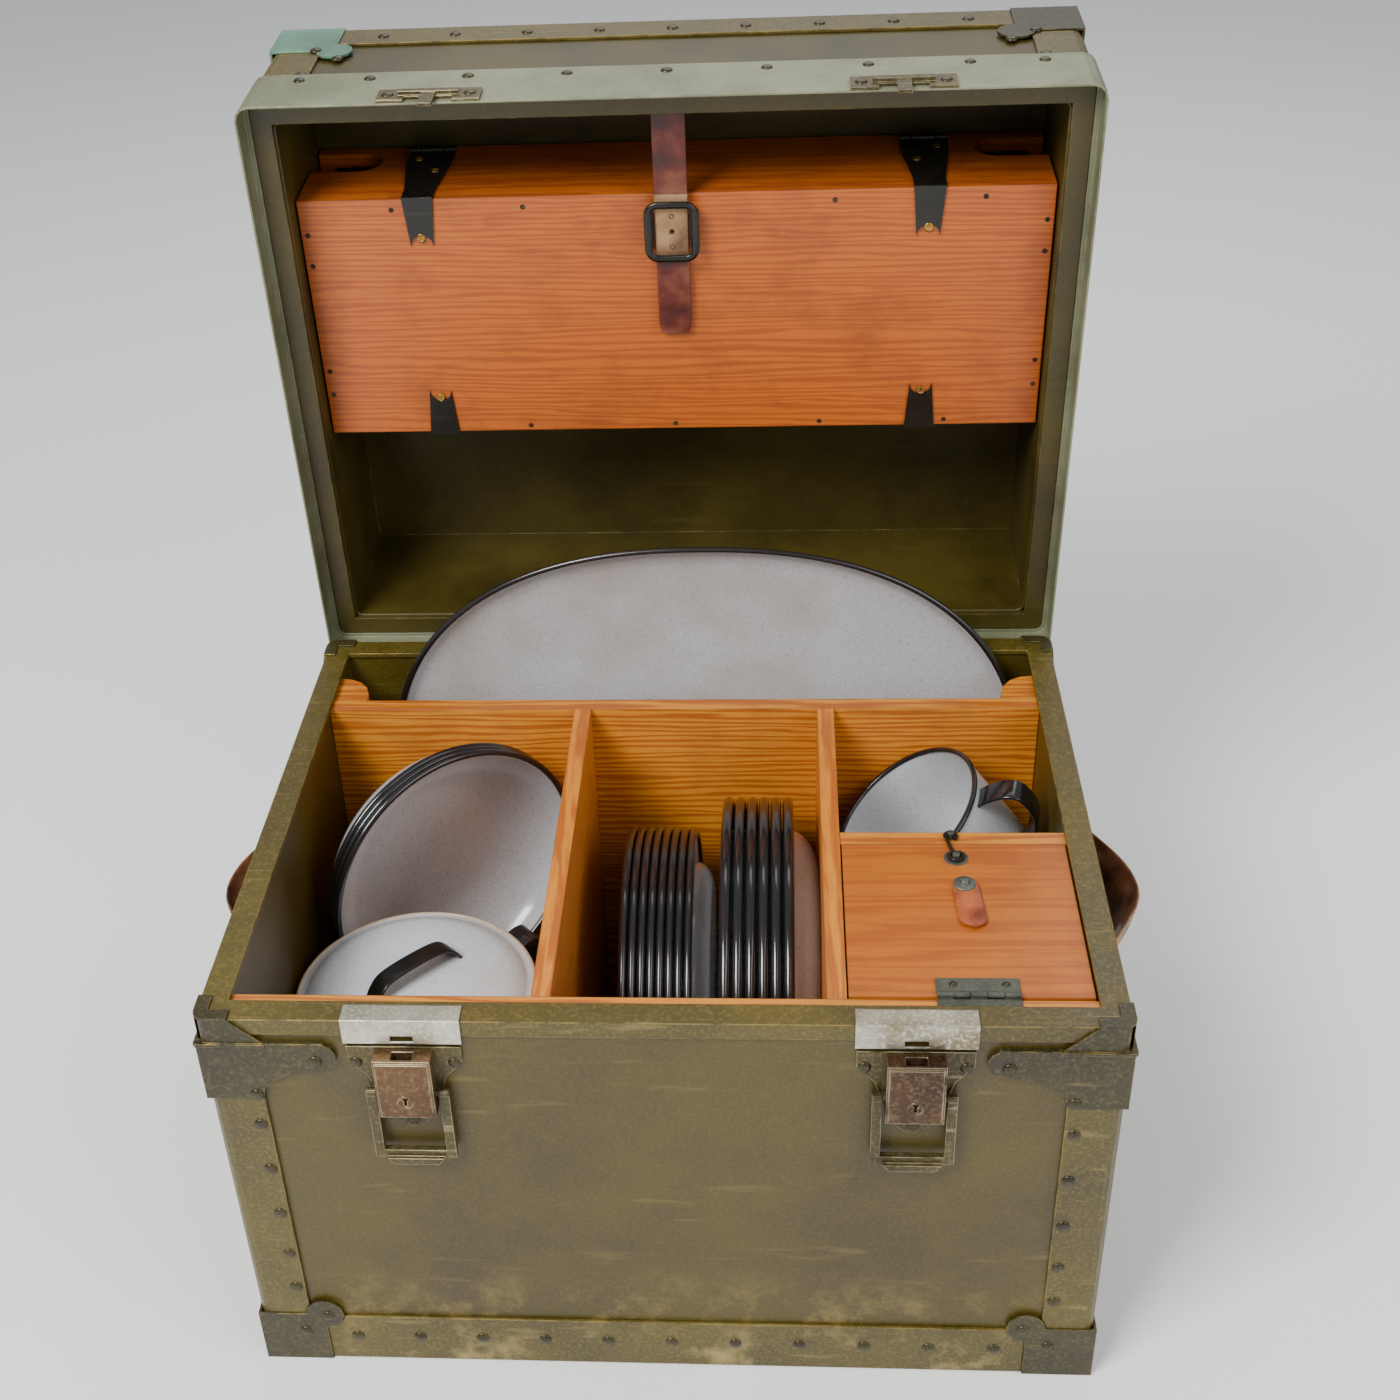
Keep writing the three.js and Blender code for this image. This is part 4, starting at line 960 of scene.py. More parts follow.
def fit(piece: bpy.types.Object, body: Body, slot: str, *stands_for: str) -> bpy.types.Object:
    """Fixes a finished piece to its body and reports it.

    Args:
        piece: the piece, in place.
        body: the body that it rides on.
        slot: the record's material slot of its finish; not used.
        stands_for: CAD nodes that it replaces.

    Returns:
        The piece.
    """
    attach(piece, body.value)
    if stands_for:
        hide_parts(*stands_for)
    LOG.info("%s rides on %s with %d faces", piece.name, body.value, len(piece.data.polygons))
    return piece


def dress(finish: bpy.types.Material, *nodes: str) -> None:
    """Gives CAD nodes their finish.

    Args:
        finish: the material for every slot.
        nodes: names of the CAD nodes.
    """
    for node in nodes:
        materials = frame["nodes"][node].data.materials
        for i in range(len(materials)):
            materials[i] = finish
        LOG.info("%s is finished in %s", node, finish.name)


@dataclass(frozen=True)
class LidSpace:
    """Places things drawn with the lid shut where they are with the lid open, as it is at rest."""

    pivot: Vector
    angle: float

    @classmethod
    def from_hinge(cls) -> "LidSpace":
        """Reads the lid's hinge from the frame."""
        hinge = next(j for j in frame["joints"] if j["name"] == "lid_hinge")
        return cls(Vector(hinge["pos_m"]), math.radians(min(hinge["range_deg"])))

    def turn(self, direction: Sequence[float]) -> Vector:
        """Turns a direction from the shut lid to the open one."""
        return Matrix.Rotation(self.angle, 3, "X") @ Vector(direction)

    def place(self, point: Sequence[float]) -> Vector:
        """Moves a point from the shut lid to the open one."""
        return self.pivot + self.turn(Vector(point) - self.pivot)


LID_SPACE = LidSpace.from_hinge()


# ---- fasteners set by Geometry Nodes -------------------------------------------------------------
@dataclass(frozen=True)
class Spot:
    """A place for one fastener: where it sits, the way it faces and the way its slot runs."""

    at: Vector
    out: Vector
    along: Vector = field(default_factory=lambda: Vector((1.0, 0.0, 0.0)))

    def on_lid(self) -> "Spot":
        """The same spot, drawn on the shut lid and moved to the open one."""
        return Spot(LID_SPACE.place(self.at), LID_SPACE.turn(self.out), LID_SPACE.turn(self.along))


class Head(Enum):
    """Kinds of fastener head."""

    RIVET = "rivet"
    NAIL = "nail"
    SCREW = "screw"
    WASHER = "washer"
    STITCH = "stitch"
    HOLE = "hole"

    def skin(self) -> Skin:
        """The head's shape, of radius 1, standing on z 0 and facing +Z."""
        if self is Head.RIVET:
            turns = [math.radians(a) for a in (0, 25, 48, 70, 90)]
            dome = [(math.cos(a), 0.42 * math.sin(a)) for a in turns]
            return spun([(0.0, -0.2), (1.0, -0.2), *dome[:-1], (0.0, 0.42)], 14)
        if self is Head.NAIL:
            return spun([(0.0, -0.2), (0.95, -0.2), (1.0, 0.05), (0.85, 0.16), (0.3, 0.12), (0.0, 0.06)], 12)
        if self is Head.SCREW:
            ring = spun([(0.62, -0.2), (1.0, -0.2), (1.0, 0.1), (0.86, 0.22), (0.66, 0.24), (0.62, 0.1)], 16)
            for sign in (-1, 1):
                edge = arc((0.0, 0.0), 0.66, 12, 168, 8)
                flat = [Vector((x, sign * y, 0.0)) for x, y in edge]
                ring.loft([[p + Vector((0, 0, lift)) for p in flat] for lift in (-0.2, 0.18)])
            bed = [Vector((x, y, 0.0)) for x, y in arc((0.0, 0.0), 0.64, 0, 337.5, 15)]
            ring.loft([[p + Vector((0, 0, -0.2)) for p in bed], [p + Vector((0, 0, 0.02)) for p in bed]])
            return ring
        if self is Head.WASHER:
            dome = [(0.0, 0.5), (0.3, 0.46), (0.44, 0.3), (0.46, 0.16), (0.8, 0.14), (0.96, 0.1), (1.0, 0.0)]
            return spun([(0.0, -0.1), (1.0, -0.1), *reversed(dome)], 22)
        if self is Head.STITCH:
            knots = ((-1, -0.25), (-0.8, 0.12), (0, 0.24), (0.8, 0.12), (1, -0.25))
            path = [Vector((x, 0.0, z)) for x, z in knots]
            return swept(path, arc((0.0, 0.0), 0.26, 0, 300, 5), Vector((0, 0, 1)))
        # The hole: a lip round a shallow sunk floor. The strap's holes take a dark finish on it, which is
        # painted shade for the inside of the hole.
        lip = [(1.0, -0.3), (1.0, 0.04), (0.82, 0.1), (0.7, 0.02), (0.6, -0.06), (0.0, -0.06), (0.0, -0.3)]
        return spun(lip, 14)


@dataclass
class FastenerSetter:
    """Sets one head on every spot with Geometry Nodes, and settles the result into a plain mesh."""

    tree: bpy.types.GeometryNodeTree = None

    def __post_init__(self) -> None:
        """Builds the tree once."""
        self.tree = self.build_tree()

    def build_tree(self) -> bpy.types.GeometryNodeTree:
        """Builds the tree that stands a head on every spot, facing out and turned along.

        Returns:
            The tree, with named inputs for its head, size, unevenness, seed and finish.
        """
        tree = bpy.data.node_groups.new("heads_on_spots", "GeometryNodeTree")
        ports = tree.interface
        ports.new_socket("Spots", in_out="INPUT", socket_type="NodeSocketGeometry")
        ports.new_socket("Head", in_out="INPUT", socket_type="NodeSocketObject")
        ports.new_socket("Size", in_out="INPUT", socket_type="NodeSocketFloat")
        ports.new_socket("Unevenness", in_out="INPUT", socket_type="NodeSocketFloat")
        ports.new_socket("Seed", in_out="INPUT", socket_type="NodeSocketInt")
        ports.new_socket("Finish", in_out="INPUT", socket_type="NodeSocketMaterial")
        ports.new_socket("Fasteners", in_out="OUTPUT", socket_type="NodeSocketGeometry")
        nodes, links = tree.nodes, tree.links

        given = nodes.new("NodeGroupInput")
        given.label = "spots and sizes"
        given.location = (-900, 0)
        head = nodes.new("GeometryNodeObjectInfo")
        head.label = "shape of one head"
        head.location = (-600, 200)
        out = nodes.new("GeometryNodeInputNamedAttribute")
        out.label = "way out of the surface"
        out.data_type = "FLOAT_VECTOR"
        out.inputs["Name"].default_value = "out"
        out.location = (-900, -250)
        along = nodes.new("GeometryNodeInputNamedAttribute")
        along.label = "way along the row"
        along.data_type = "FLOAT_VECTOR"
        along.inputs["Name"].default_value = "along"
        along.location = (-900, -450)
        stand = nodes.new("FunctionNodeAlignRotationToVector")
        stand.label = "stand on the surface"
        stand.axis = "Z"
        stand.location = (-600, -250)
        slew = nodes.new("FunctionNodeAlignRotationToVector")
        slew.label = "turn along the row"
        slew.axis = "X"
        slew.pivot_axis = "Z"
        slew.location = (-350, -250)
        smallest = nodes.new("ShaderNodeMath")
        smallest.label = "smallest share"
        smallest.operation = "SUBTRACT"
        smallest.inputs[0].default_value = 1.0
        smallest.location = (-600, -600)
        share = nodes.new("FunctionNodeRandomValue")
        share.label = "a little uneven"
        share.data_type = "FLOAT"
        share.inputs[3].default_value = 1.0
        share.location = (-350, -600)
        scale = nodes.new("ShaderNodeMath")
        scale.label = "size of each head"
        scale.operation = "MULTIPLY"
        scale.location = (-100, -450)
        copies = nodes.new("GeometryNodeInstanceOnPoints")
        copies.label = "a head on every spot"
        copies.location = (100, 0)
        solid = nodes.new("GeometryNodeRealizeInstances")
        solid.label = "make them solid"
        solid.location = (320, 0)
        paint = nodes.new("GeometryNodeSetMaterial")
        paint.label = "give them their finish"
        paint.location = (520, 0)
        result = nodes.new("NodeGroupOutput")
        result.label = "fasteners"
        result.location = (720, 0)

        links.new(given.outputs["Spots"], copies.inputs["Points"])
        links.new(given.outputs["Head"], head.inputs["Object"])
        links.new(head.outputs["Geometry"], copies.inputs["Instance"])
        links.new(out.outputs["Attribute"], stand.inputs["Vector"])
        links.new(stand.outputs["Rotation"], slew.inputs["Rotation"])
        links.new(along.outputs["Attribute"], slew.inputs["Vector"])
        links.new(slew.outputs["Rotation"], copies.inputs["Rotation"])
        links.new(given.outputs["Unevenness"], smallest.inputs[1])
        links.new(smallest.outputs["Value"], share.inputs[2])
        links.new(given.outputs["Seed"], share.inputs["Seed"])
        links.new(share.outputs[1], scale.inputs[0])
        links.new(given.outputs["Size"], scale.inputs[1])
        links.new(scale.outputs["Value"], copies.inputs["Scale"])
        links.new(copies.outputs["Instances"], solid.inputs["Geometry"])
        links.new(solid.outputs["Geometry"], paint.inputs["Geometry"])
        links.new(given.outputs["Finish"], paint.inputs["Material"])
        links.new(paint.outputs["Geometry"], result.inputs["Fasteners"])
        return tree

    def set_heads(self, name: str, spots: Iterable[Spot], head: Head, radius: float,
                  finish: bpy.types.Material, uneven: float = 0.08) -> bpy.types.Object:
        """Sets heads on spots as one plain mesh.

        Args:
            name: the piece's name.
            spots: where the heads go.
            head: the kind of head.
            radius: the head's radius.
            finish: its material.
            uneven: how much smaller the smallest head may be.

        Returns:
            The piece.
        """
        spots = list(spots)
        mesh = bpy.data.meshes.new(name)
        mesh.from_pydata([tuple(s.at) for s in spots], [], [])
        for key, values in (("out", [s.out for s in spots]), ("along", [s.along for s in spots])):
            attribute = mesh.attributes.new(key, "FLOAT_VECTOR", "POINT")
            attribute.data.foreach_set("vector", [c for v in values for c in v])
        piece = bpy.data.objects.new(name, mesh)
        bpy.context.scene.collection.objects.link(piece)
        pattern = head.skin().piece(f"{name}_pattern", finish)
        modifier = piece.modifiers.new("heads", "NODES")
        modifier.node_group = self.tree
        values = {"Head": pattern, "Size": radius, "Unevenness": uneven, "Seed": SEED, "Finish": finish}
        return settle(piece, modifier, values, pattern)


def settle(piece: bpy.types.Object, modifier: bpy.types.Modifier, values: dict[str, object],
           *patterns: bpy.types.Object) -> bpy.types.Object:
    """Sets a Geometry Nodes modifier's named inputs and turns its result into the piece's own mesh.

    Args:
        piece: the object that carries the modifier.
        modifier: the Geometry Nodes modifier.
        values: the inputs by name.
        patterns: objects that the tree reads, removed afterwards.

    Returns:
        The piece, with a plain mesh and no modifier.
    """
    for port in modifier.node_group.interface.items_tree:
        if port.in_out == "INPUT" and port.name in values:
            modifier[port.identifier] = values[port.name]
    graph = bpy.context.evaluated_depsgraph_get()
    graph.update()
    mesh = bpy.data.meshes.new_from_object(piece.evaluated_get(graph), depsgraph=graph)
    mesh.name = piece.name
    piece.modifiers.clear()
    piece.data = mesh
    for pattern in patterns:
        bpy.data.objects.remove(pattern)
    return piece


def bead_tree() -> bpy.types.GeometryNodeTree:
    """Builds the tree that rolls a round bead along the piece's own edges.

    Returns:
        The tree, with named inputs for the bead's radius and finish.
    """
    tree = bpy.data.node_groups.new("bead_along_a_line", "GeometryNodeTree")
    ports = tree.interface
    ports.new_socket("Line", in_out="INPUT", socket_type="NodeSocketGeometry")
    ports.new_socket("Radius", in_out="INPUT", socket_type="NodeSocketFloat")
    ports.new_socket("Finish", in_out="INPUT", socket_type="NodeSocketMaterial")
    ports.new_socket("Bead", in_out="OUTPUT", socket_type="NodeSocketGeometry")
    nodes, links = tree.nodes, tree.links
    given = nodes.new("NodeGroupInput")
    given.label = "line and radius"
    given.location = (-700, 0)
    line = nodes.new("GeometryNodeMeshToCurve")
    line.label = "line as a curve"
    line.location = (-450, 100)
    section = nodes.new("GeometryNodeCurvePrimitiveCircle")
    section.label = "round section"
    section.inputs["Resolution"].default_value = 12
    section.location = (-450, -150)
    roll = nodes.new("GeometryNodeCurveToMesh")
    roll.label = "rolled bead"
    roll.inputs["Fill Caps"].default_value = True
    roll.location = (-200, 0)
    solid = nodes.new("GeometryNodeRealizeInstances")
    solid.label = "make it solid"
    solid.location = (0, 0)
    paint = nodes.new("GeometryNodeSetMaterial")
    paint.label = "give it its finish"
    paint.location = (200, 0)
    result = nodes.new("NodeGroupOutput")
    result.label = "bead"
    result.location = (400, 0)
    links.new(given.outputs["Line"], line.inputs["Mesh"])
    links.new(given.outputs["Radius"], section.inputs["Radius"])
    links.new(line.outputs["Curve"], roll.inputs["Curve"])
    links.new(section.outputs["Curve"], roll.inputs["Profile Curve"])
    links.new(roll.outputs["Mesh"], solid.inputs["Geometry"])
    links.new(solid.outputs["Geometry"], paint.inputs["Geometry"])
    links.new(given.outputs["Finish"], paint.inputs["Material"])
    links.new(paint.outputs["Geometry"], result.inputs["Bead"])
    return tree


def nest_tree() -> bpy.types.GeometryNodeTree:
    """Builds the tree that nests copies of one dish along a line.

    Returns:
        The tree, with named inputs for the dish, its count, its pitch, its turn, its seed and its finish.
    """
    tree = bpy.data.node_groups.new("nest_of_dishes", "GeometryNodeTree")
    ports = tree.interface
    ports.new_socket("Start", in_out="INPUT", socket_type="NodeSocketGeometry")
    ports.new_socket("Dish", in_out="INPUT", socket_type="NodeSocketObject")
    ports.new_socket("Count", in_out="INPUT", socket_type="NodeSocketInt")
    ports.new_socket("Pitch", in_out="INPUT", socket_type="NodeSocketFloat")
    ports.new_socket("Looseness", in_out="INPUT", socket_type="NodeSocketFloat")
    ports.new_socket("Seed", in_out="INPUT", socket_type="NodeSocketInt")
    ports.new_socket("Finish", in_out="INPUT", socket_type="NodeSocketMaterial")
    ports.new_socket("Nest", in_out="OUTPUT", socket_type="NodeSocketGeometry")
    nodes, links = tree.nodes, tree.links
    given = nodes.new("NodeGroupInput")
    given.label = "dish and spacing"
    given.location = (-900, 0)
    dish = nodes.new("GeometryNodeObjectInfo")
    dish.label = "one dish"
    dish.location = (-600, -200)
    step = nodes.new("ShaderNodeCombineXYZ")
    step.label = "step back to the next dish"
    step.location = (-600, 100)
    row = nodes.new("GeometryNodeMeshLine")
    row.label = "a place for each dish"
    row.location = (-350, 150)
    low = nodes.new("ShaderNodeMath")
    low.label = "the other way"
    low.operation = "MULTIPLY"
    low.inputs[1].default_value = -1.0
    low.location = (-600, -450)
    shift = nodes.new("FunctionNodeRandomValue")
    shift.label = "not quite in line"
    shift.data_type = "FLOAT"
    shift.location = (-350, -450)
    settled = nodes.new("ShaderNodeCombineXYZ")
    settled.label = "rolled a little along the rack"
    settled.location = (-150, -450)
    nudge = nodes.new("GeometryNodeSetPosition")
    nudge.label = "loosely stacked"
    nudge.location = (-100, 100)
    copies = nodes.new("GeometryNodeInstanceOnPoints")
    copies.label = "a dish in every place"
    copies.location = (120, 0)
    solid = nodes.new("GeometryNodeRealizeInstances")
    solid.label = "make them solid"
    solid.location = (340, 0)
    paint = nodes.new("GeometryNodeSetMaterial")
    paint.label = "give them their finish"
    paint.location = (540, 0)
    result = nodes.new("NodeGroupOutput")
    result.label = "nest"
    result.location = (740, 0)
    links.new(given.outputs["Dish"], dish.inputs["Object"])
    links.new(given.outputs["Pitch"], step.inputs["Z"])
    links.new(given.outputs["Count"], row.inputs["Count"])
    links.new(step.outputs["Vector"], row.inputs["Offset"])
    links.new(given.outputs["Looseness"], low.inputs[0])
    links.new(low.outputs["Value"], shift.inputs[2])
    links.new(given.outputs["Looseness"], shift.inputs[3])
    links.new(given.outputs["Seed"], shift.inputs["Seed"])
    links.new(shift.outputs[1], settled.inputs["Y"])
    links.new(row.outputs["Mesh"], nudge.inputs["Geometry"])
    links.new(settled.outputs["Vector"], nudge.inputs["Offset"])
    links.new(nudge.outputs["Geometry"], copies.inputs["Points"])
    links.new(dish.outputs["Geometry"], copies.inputs["Instance"])
    links.new(copies.outputs["Instances"], solid.inputs["Geometry"])
    links.new(solid.outputs["Geometry"], paint.inputs["Geometry"])
    links.new(given.outputs["Finish"], paint.inputs["Material"])
    links.new(paint.outputs["Geometry"], result.inputs["Nest"])
    return tree


# ---- the trunk's body -----------------------------------------------------------------------------
@dataclass(frozen=True)
class Plan:
    """The plywood's plan, and spots for rivets on its four walls."""

    low: Vector
    high: Vector
    skin: float = 3.5 * MM

    @classmethod
    def from_body(cls) -> "Plan":
        """Reads the plan from the CAD body shell; the lid's shell has the same one."""
        low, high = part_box("body_shell")
        return cls(Vector(low), Vector(high))

    def spot(self, wall: Wall, run: float, height: float, proud: float) -> Spot:
        """A spot on one wall.

        Args:
            wall: the wall.
            run: its X on the front and rear, its Y on the sides.
            height: its Z.
            proud: how far outside the plywood the surface stands.

        Returns:
            The spot, facing out of the wall.
        """
        nx, ny = wall.value
        if nx:
            x = self.high.x + proud if nx > 0 else self.low.x - proud
            return Spot(Vector((x, run, height)), Vector((nx, 0, 0)), Vector((0, 0, 1)))
        y = self.high.y + proud if ny > 0 else self.low.y - proud
        return Spot(Vector((run, y, height)), Vector((0, ny, 0)))

    def corners(self, inset: float, height: float, proud: float) -> list[Spot]:
        """Spots on every wall, the same distance in from both of its upright corners.

        Args:
            inset: distance in from the corner of the steel.
            height: their Z.
            proud: how far outside the plywood the surface stands.

        Returns:
            Eight spots.
        """
        spots = []
        for wall in Wall:
            axis = 1 if wall.value[0] else 0
            for run in (self.low[axis] - self.skin + inset, self.high[axis] + self.skin - inset):
                spots.append(self.spot(wall, run, height, proud))
        return spots

    def row(self, wall: Wall, inset: float, pitch: float, height: float, proud: float) -> list[Spot]:
        """An even row of spots along one wall, with the same space left at both ends.

        Args:
            wall: the wall.
            inset: distance from the corner of the steel to the first spot.
            pitch: the distance between spots, near enough.
            height: their Z.
            proud: how far outside the plywood the surface stands.

        Returns:
            The row.
        """
        axis = 1 if wall.value[0] else 0
        first, last = self.low[axis] - self.skin + inset, self.high[axis] + self.skin - inset
        steps = max(1, round((last - first) / pitch))
        return [self.spot(wall, first + (last - first) * i / steps, height, proud) for i in range(steps + 1)]


PLAN = Plan.from_body()
BINDING_PROUD = 2.4 * MM
CAP_PROUD = 3.5 * MM
RIVET_RADIUS = 4.5 * MM
CORNER_NAMES = ("front_left", "front_right", "rear_left", "rear_right")


@dataclass
class TrunkBody:
    """The painted box, its steel binding, its caps and their rivets."""

    finishes: Finishes
    setter: FastenerSetter
    post_heights: tuple[float, ...] = (226 * MM, 186 * MM, 145 * MM, 106 * MM, 73 * MM)
    post_inset: float = 30 * MM
    cap_places: tuple[tuple[float, float], ...] = (
        (72 * MM, 281 * MM), (32 * MM, 253 * MM), (48 * MM, 45 * MM), (31 * MM, 29 * MM))
    foot_row_height: float = 24 * MM

    def build(self) -> None:
        """Dresses the CAD body and sets its rivets."""
        dress(self.finishes.fibre, "body_shell")
        dress(self.finishes.binding, "body_rim_channel", "body_edge_binding")
        dress(self.finishes.cap, *(f"{kind}_cap_{name}" for kind in ("rim", "foot") for name in CORNER_NAMES))
        self.cap_rivets()
        self.binding_rivets()

    def cap_rivets(self) -> None:
        """Sets two rivets in each leg of every cap."""
        spots = []
        for inset, height in self.cap_places:
            spots += PLAN.corners(inset, height, CAP_PROUD)
        rivets = self.setter.set_heads(
            "body_cap_rivets", spots, Head.RIVET, RIVET_RADIUS, self.finishes.rivet)
        fit(rivets, Body.TRUNK, "cap")

    def binding_rivets(self) -> None:
        """Sets the rows up the corner posts and round the base."""
        spots = [s for z in self.post_heights for s in PLAN.corners(self.post_inset, z, BINDING_PROUD)]
        for wall in Wall:
            spots += PLAN.row(wall, 66 * MM, 42 * MM, self.foot_row_height, BINDING_PROUD)
        rivets = self.setter.set_heads(
            "body_binding_rivets", spots, Head.RIVET, RIVET_RADIUS, self.finishes.rivet)
        fit(rivets, Body.TRUNK, "binding")


@dataclass
class LidTray:
    """The lid: its tray, valance, binding, caps, inner bead, keepers and long hinge."""

    finishes: Finishes
    setter: FastenerSetter
    top: float = 451 * MM
    ledge: float = 295 * MM
    wall: float = 14 * MM
    valance_proud: float = 5.1 * MM
    keeper_proud: float = 7.2 * MM
    latch_x: float = 153 * MM
    bead_radius: float = 1.3 * MM

    def build(self) -> None:
        """Dresses the CAD lid and adds its rivets and bead."""
        # The lid shell takes the darker copy of the olive coat, whose extra darkness is painted shade for the
        # inside of the open lid.
        dress(self.finishes.lid_inside, "lid_shell")
        dress(self.finishes.valance, "lid_valance")
        dress(self.finishes.binding, "lid_edge_binding")
        dress(self.finishes.latch, "lid_hinge_body_leaf", "lid_hinge_lid_leaf")
        dress(self.finishes.cap, "lid_cap_front_right", "lid_cap_rear_right")
        dress(self.finishes.cap_teal, "lid_cap_front_left", "lid_cap_rear_left")
        dress(self.finishes.latch, *(f"keeper_plate_{side.word}" for side in Side))
        self.rivets()
        self.hinge_screws()
        self.bead()

    def rivets(self) -> None:
        """Sets the rivets of the caps, posts, valance and top binding, and of the keepers."""
        spots = []
        for inset, drop in ((33 * MM, 45.5 * MM), (50.5 * MM, 59.5 * MM)):
            spots += PLAN.corners(inset, self.top - drop, BINDING_PROUD if drop > 50 * MM else CAP_PROUD)
        spots += PLAN.corners(31 * MM, self.ledge + 66 * MM, BINDING_PROUD)
        spots += PLAN.corners(34 * MM, self.ledge + 47 * MM, self.valance_proud)
        for wall in Wall:
            spots += PLAN.row(wall, 76 * MM, 48 * MM, self.top - 17 * MM, BINDING_PROUD)
            if wall is not Wall.REAR:
                spots += PLAN.row(wall, 82 * MM, 62 * MM, self.ledge + 47 * MM, self.valance_proud)
        for side in Side:
            for step in (-27 * MM, 27 * MM):
                spots.append(PLAN.spot(Wall.FRONT, side.value * self.latch_x + step, self.ledge + 10 * MM,
                                       self.keeper_proud))
        rivets = self.setter.set_heads(
            "lid_rivets", [s.on_lid() for s in spots], Head.RIVET, RIVET_RADIUS * 0.95, self.finishes.rivet)
        fit(rivets, Body.LID, "binding")

    def hinge_screws(self) -> None:
        """Sets the screws through both leaves of the long hinge."""
        pitch = 42.2 * MM
        places = [pitch * (i + 0.5) for i in range(-4, 4)]
        below = [PLAN.spot(Wall.REAR, x, self.ledge - 24 * MM, 2.1 * MM) for x in places]
        above = [PLAN.spot(Wall.REAR, x, self.ledge + 30 * MM, 7.0 * MM).on_lid() for x in places]
        fit(self.setter.set_heads("hinge_body_screws", below, Head.SCREW, 3.2 * MM, self.finishes.latch),
            Body.TRUNK, "latch")
        fit(self.setter.set_heads("hinge_lid_screws", above, Head.SCREW, 3.2 * MM, self.finishes.latch),
            Body.LID, "latch")

    def bead(self) -> None:
        """Rolls the half-round bead round the inside of the lid, just behind its mouth."""
        reach = self.wall
        half_x = PLAN.high.x - reach
        middle_y = (PLAN.low.y + PLAN.high.y) / 2
        half_y = PLAN.high.y - reach - middle_y
        height = self.ledge + 25 * MM
        plan = rounded(half_x, half_y, 6 * MM, 5)
        line = [LID_SPACE.place((x, middle_y + y, height)) for x, y in plan]
        mesh = bpy.data.meshes.new("lid_mouth_bead")
        mesh.from_pydata([tuple(p) for p in line], [(i, (i + 1) % len(line)) for i in range(len(line))], [])
        bead = bpy.data.objects.new("lid_mouth_bead", mesh)
        bpy.context.scene.collection.objects.link(bead)
        modifier = bead.modifiers.new("bead", "NODES")
        modifier.node_group = bead_tree()
        # The bead takes the same darker copy of the coat: painted shade inside the lid.
        settle(bead, modifier, {"Radius": self.bead_radius, "Finish": self.finishes.lid_inside})
        bead.data.shade_smooth()
        fit(bead, Body.LID, "lid_inside")


@dataclass
class DrawLatches:
    """The two draw latches: plate, lock case, swinging bail and worn strike sleeve."""

    finishes: Finishes
    setter: FastenerSetter
    latch_x: float = 153 * MM
    key_height: float = 262 * MM
    ring_radius: float = 4.6 * MM

    def build(self) -> None:
        """Dresses the CAD latches, rivets their plates and rings their key holes."""
        for side in Side:
            dress(self.finishes.bright, f"strike_sleeve_{side.word}")
            dress(self.finishes.latch, f"latch_plate_{side.word}", f"latch_bail_{side.word}")
            dress(self.finishes.lock, f"lock_case_{side.word}")
            self.key_ring(side)
        self.rivets()

    def rivets(self) -> None:
        """Sets three rivets in each plate."""
        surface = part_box("latch_plate_left")[0][1]
        spots = [Spot(Vector((side.value * self.latch_x + dx, surface, z)), Vector((0, -1, 0)))
                 for side in Side for dx, z in ((-30 * MM, 280 * MM), (30 * MM, 280 * MM), (0.0, 232 * MM))]
        rivets = self.setter.set_heads("latch_rivets", spots, Head.RIVET, 4.0 * MM, self.finishes.rivet)
        fit(rivets, Body.TRUNK, "latch")

    def key_ring(self, side: Side) -> None:
        """Presses a bright ring round a key hole.

        Args:
            side: which latch.
        """
        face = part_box(f"lock_case_{side.word}")[0][1]
        section = [(self.ring_radius + x, z) for x, z in arc((0.0, 0.0), 1.0 * MM, 0, 330, 11)]
        turn = Matrix.Translation((side.value * self.latch_x, face + 0.3 * MM, self.key_height - 3 * MM))
        ring = spun(section, 32).moved(turn @ Matrix.Rotation(math.radians(90), 4, "X"))
        fit(ring.piece(f"key_ring_{side.word}", self.finishes.lock), Body.TRUNK, "worn_steel")


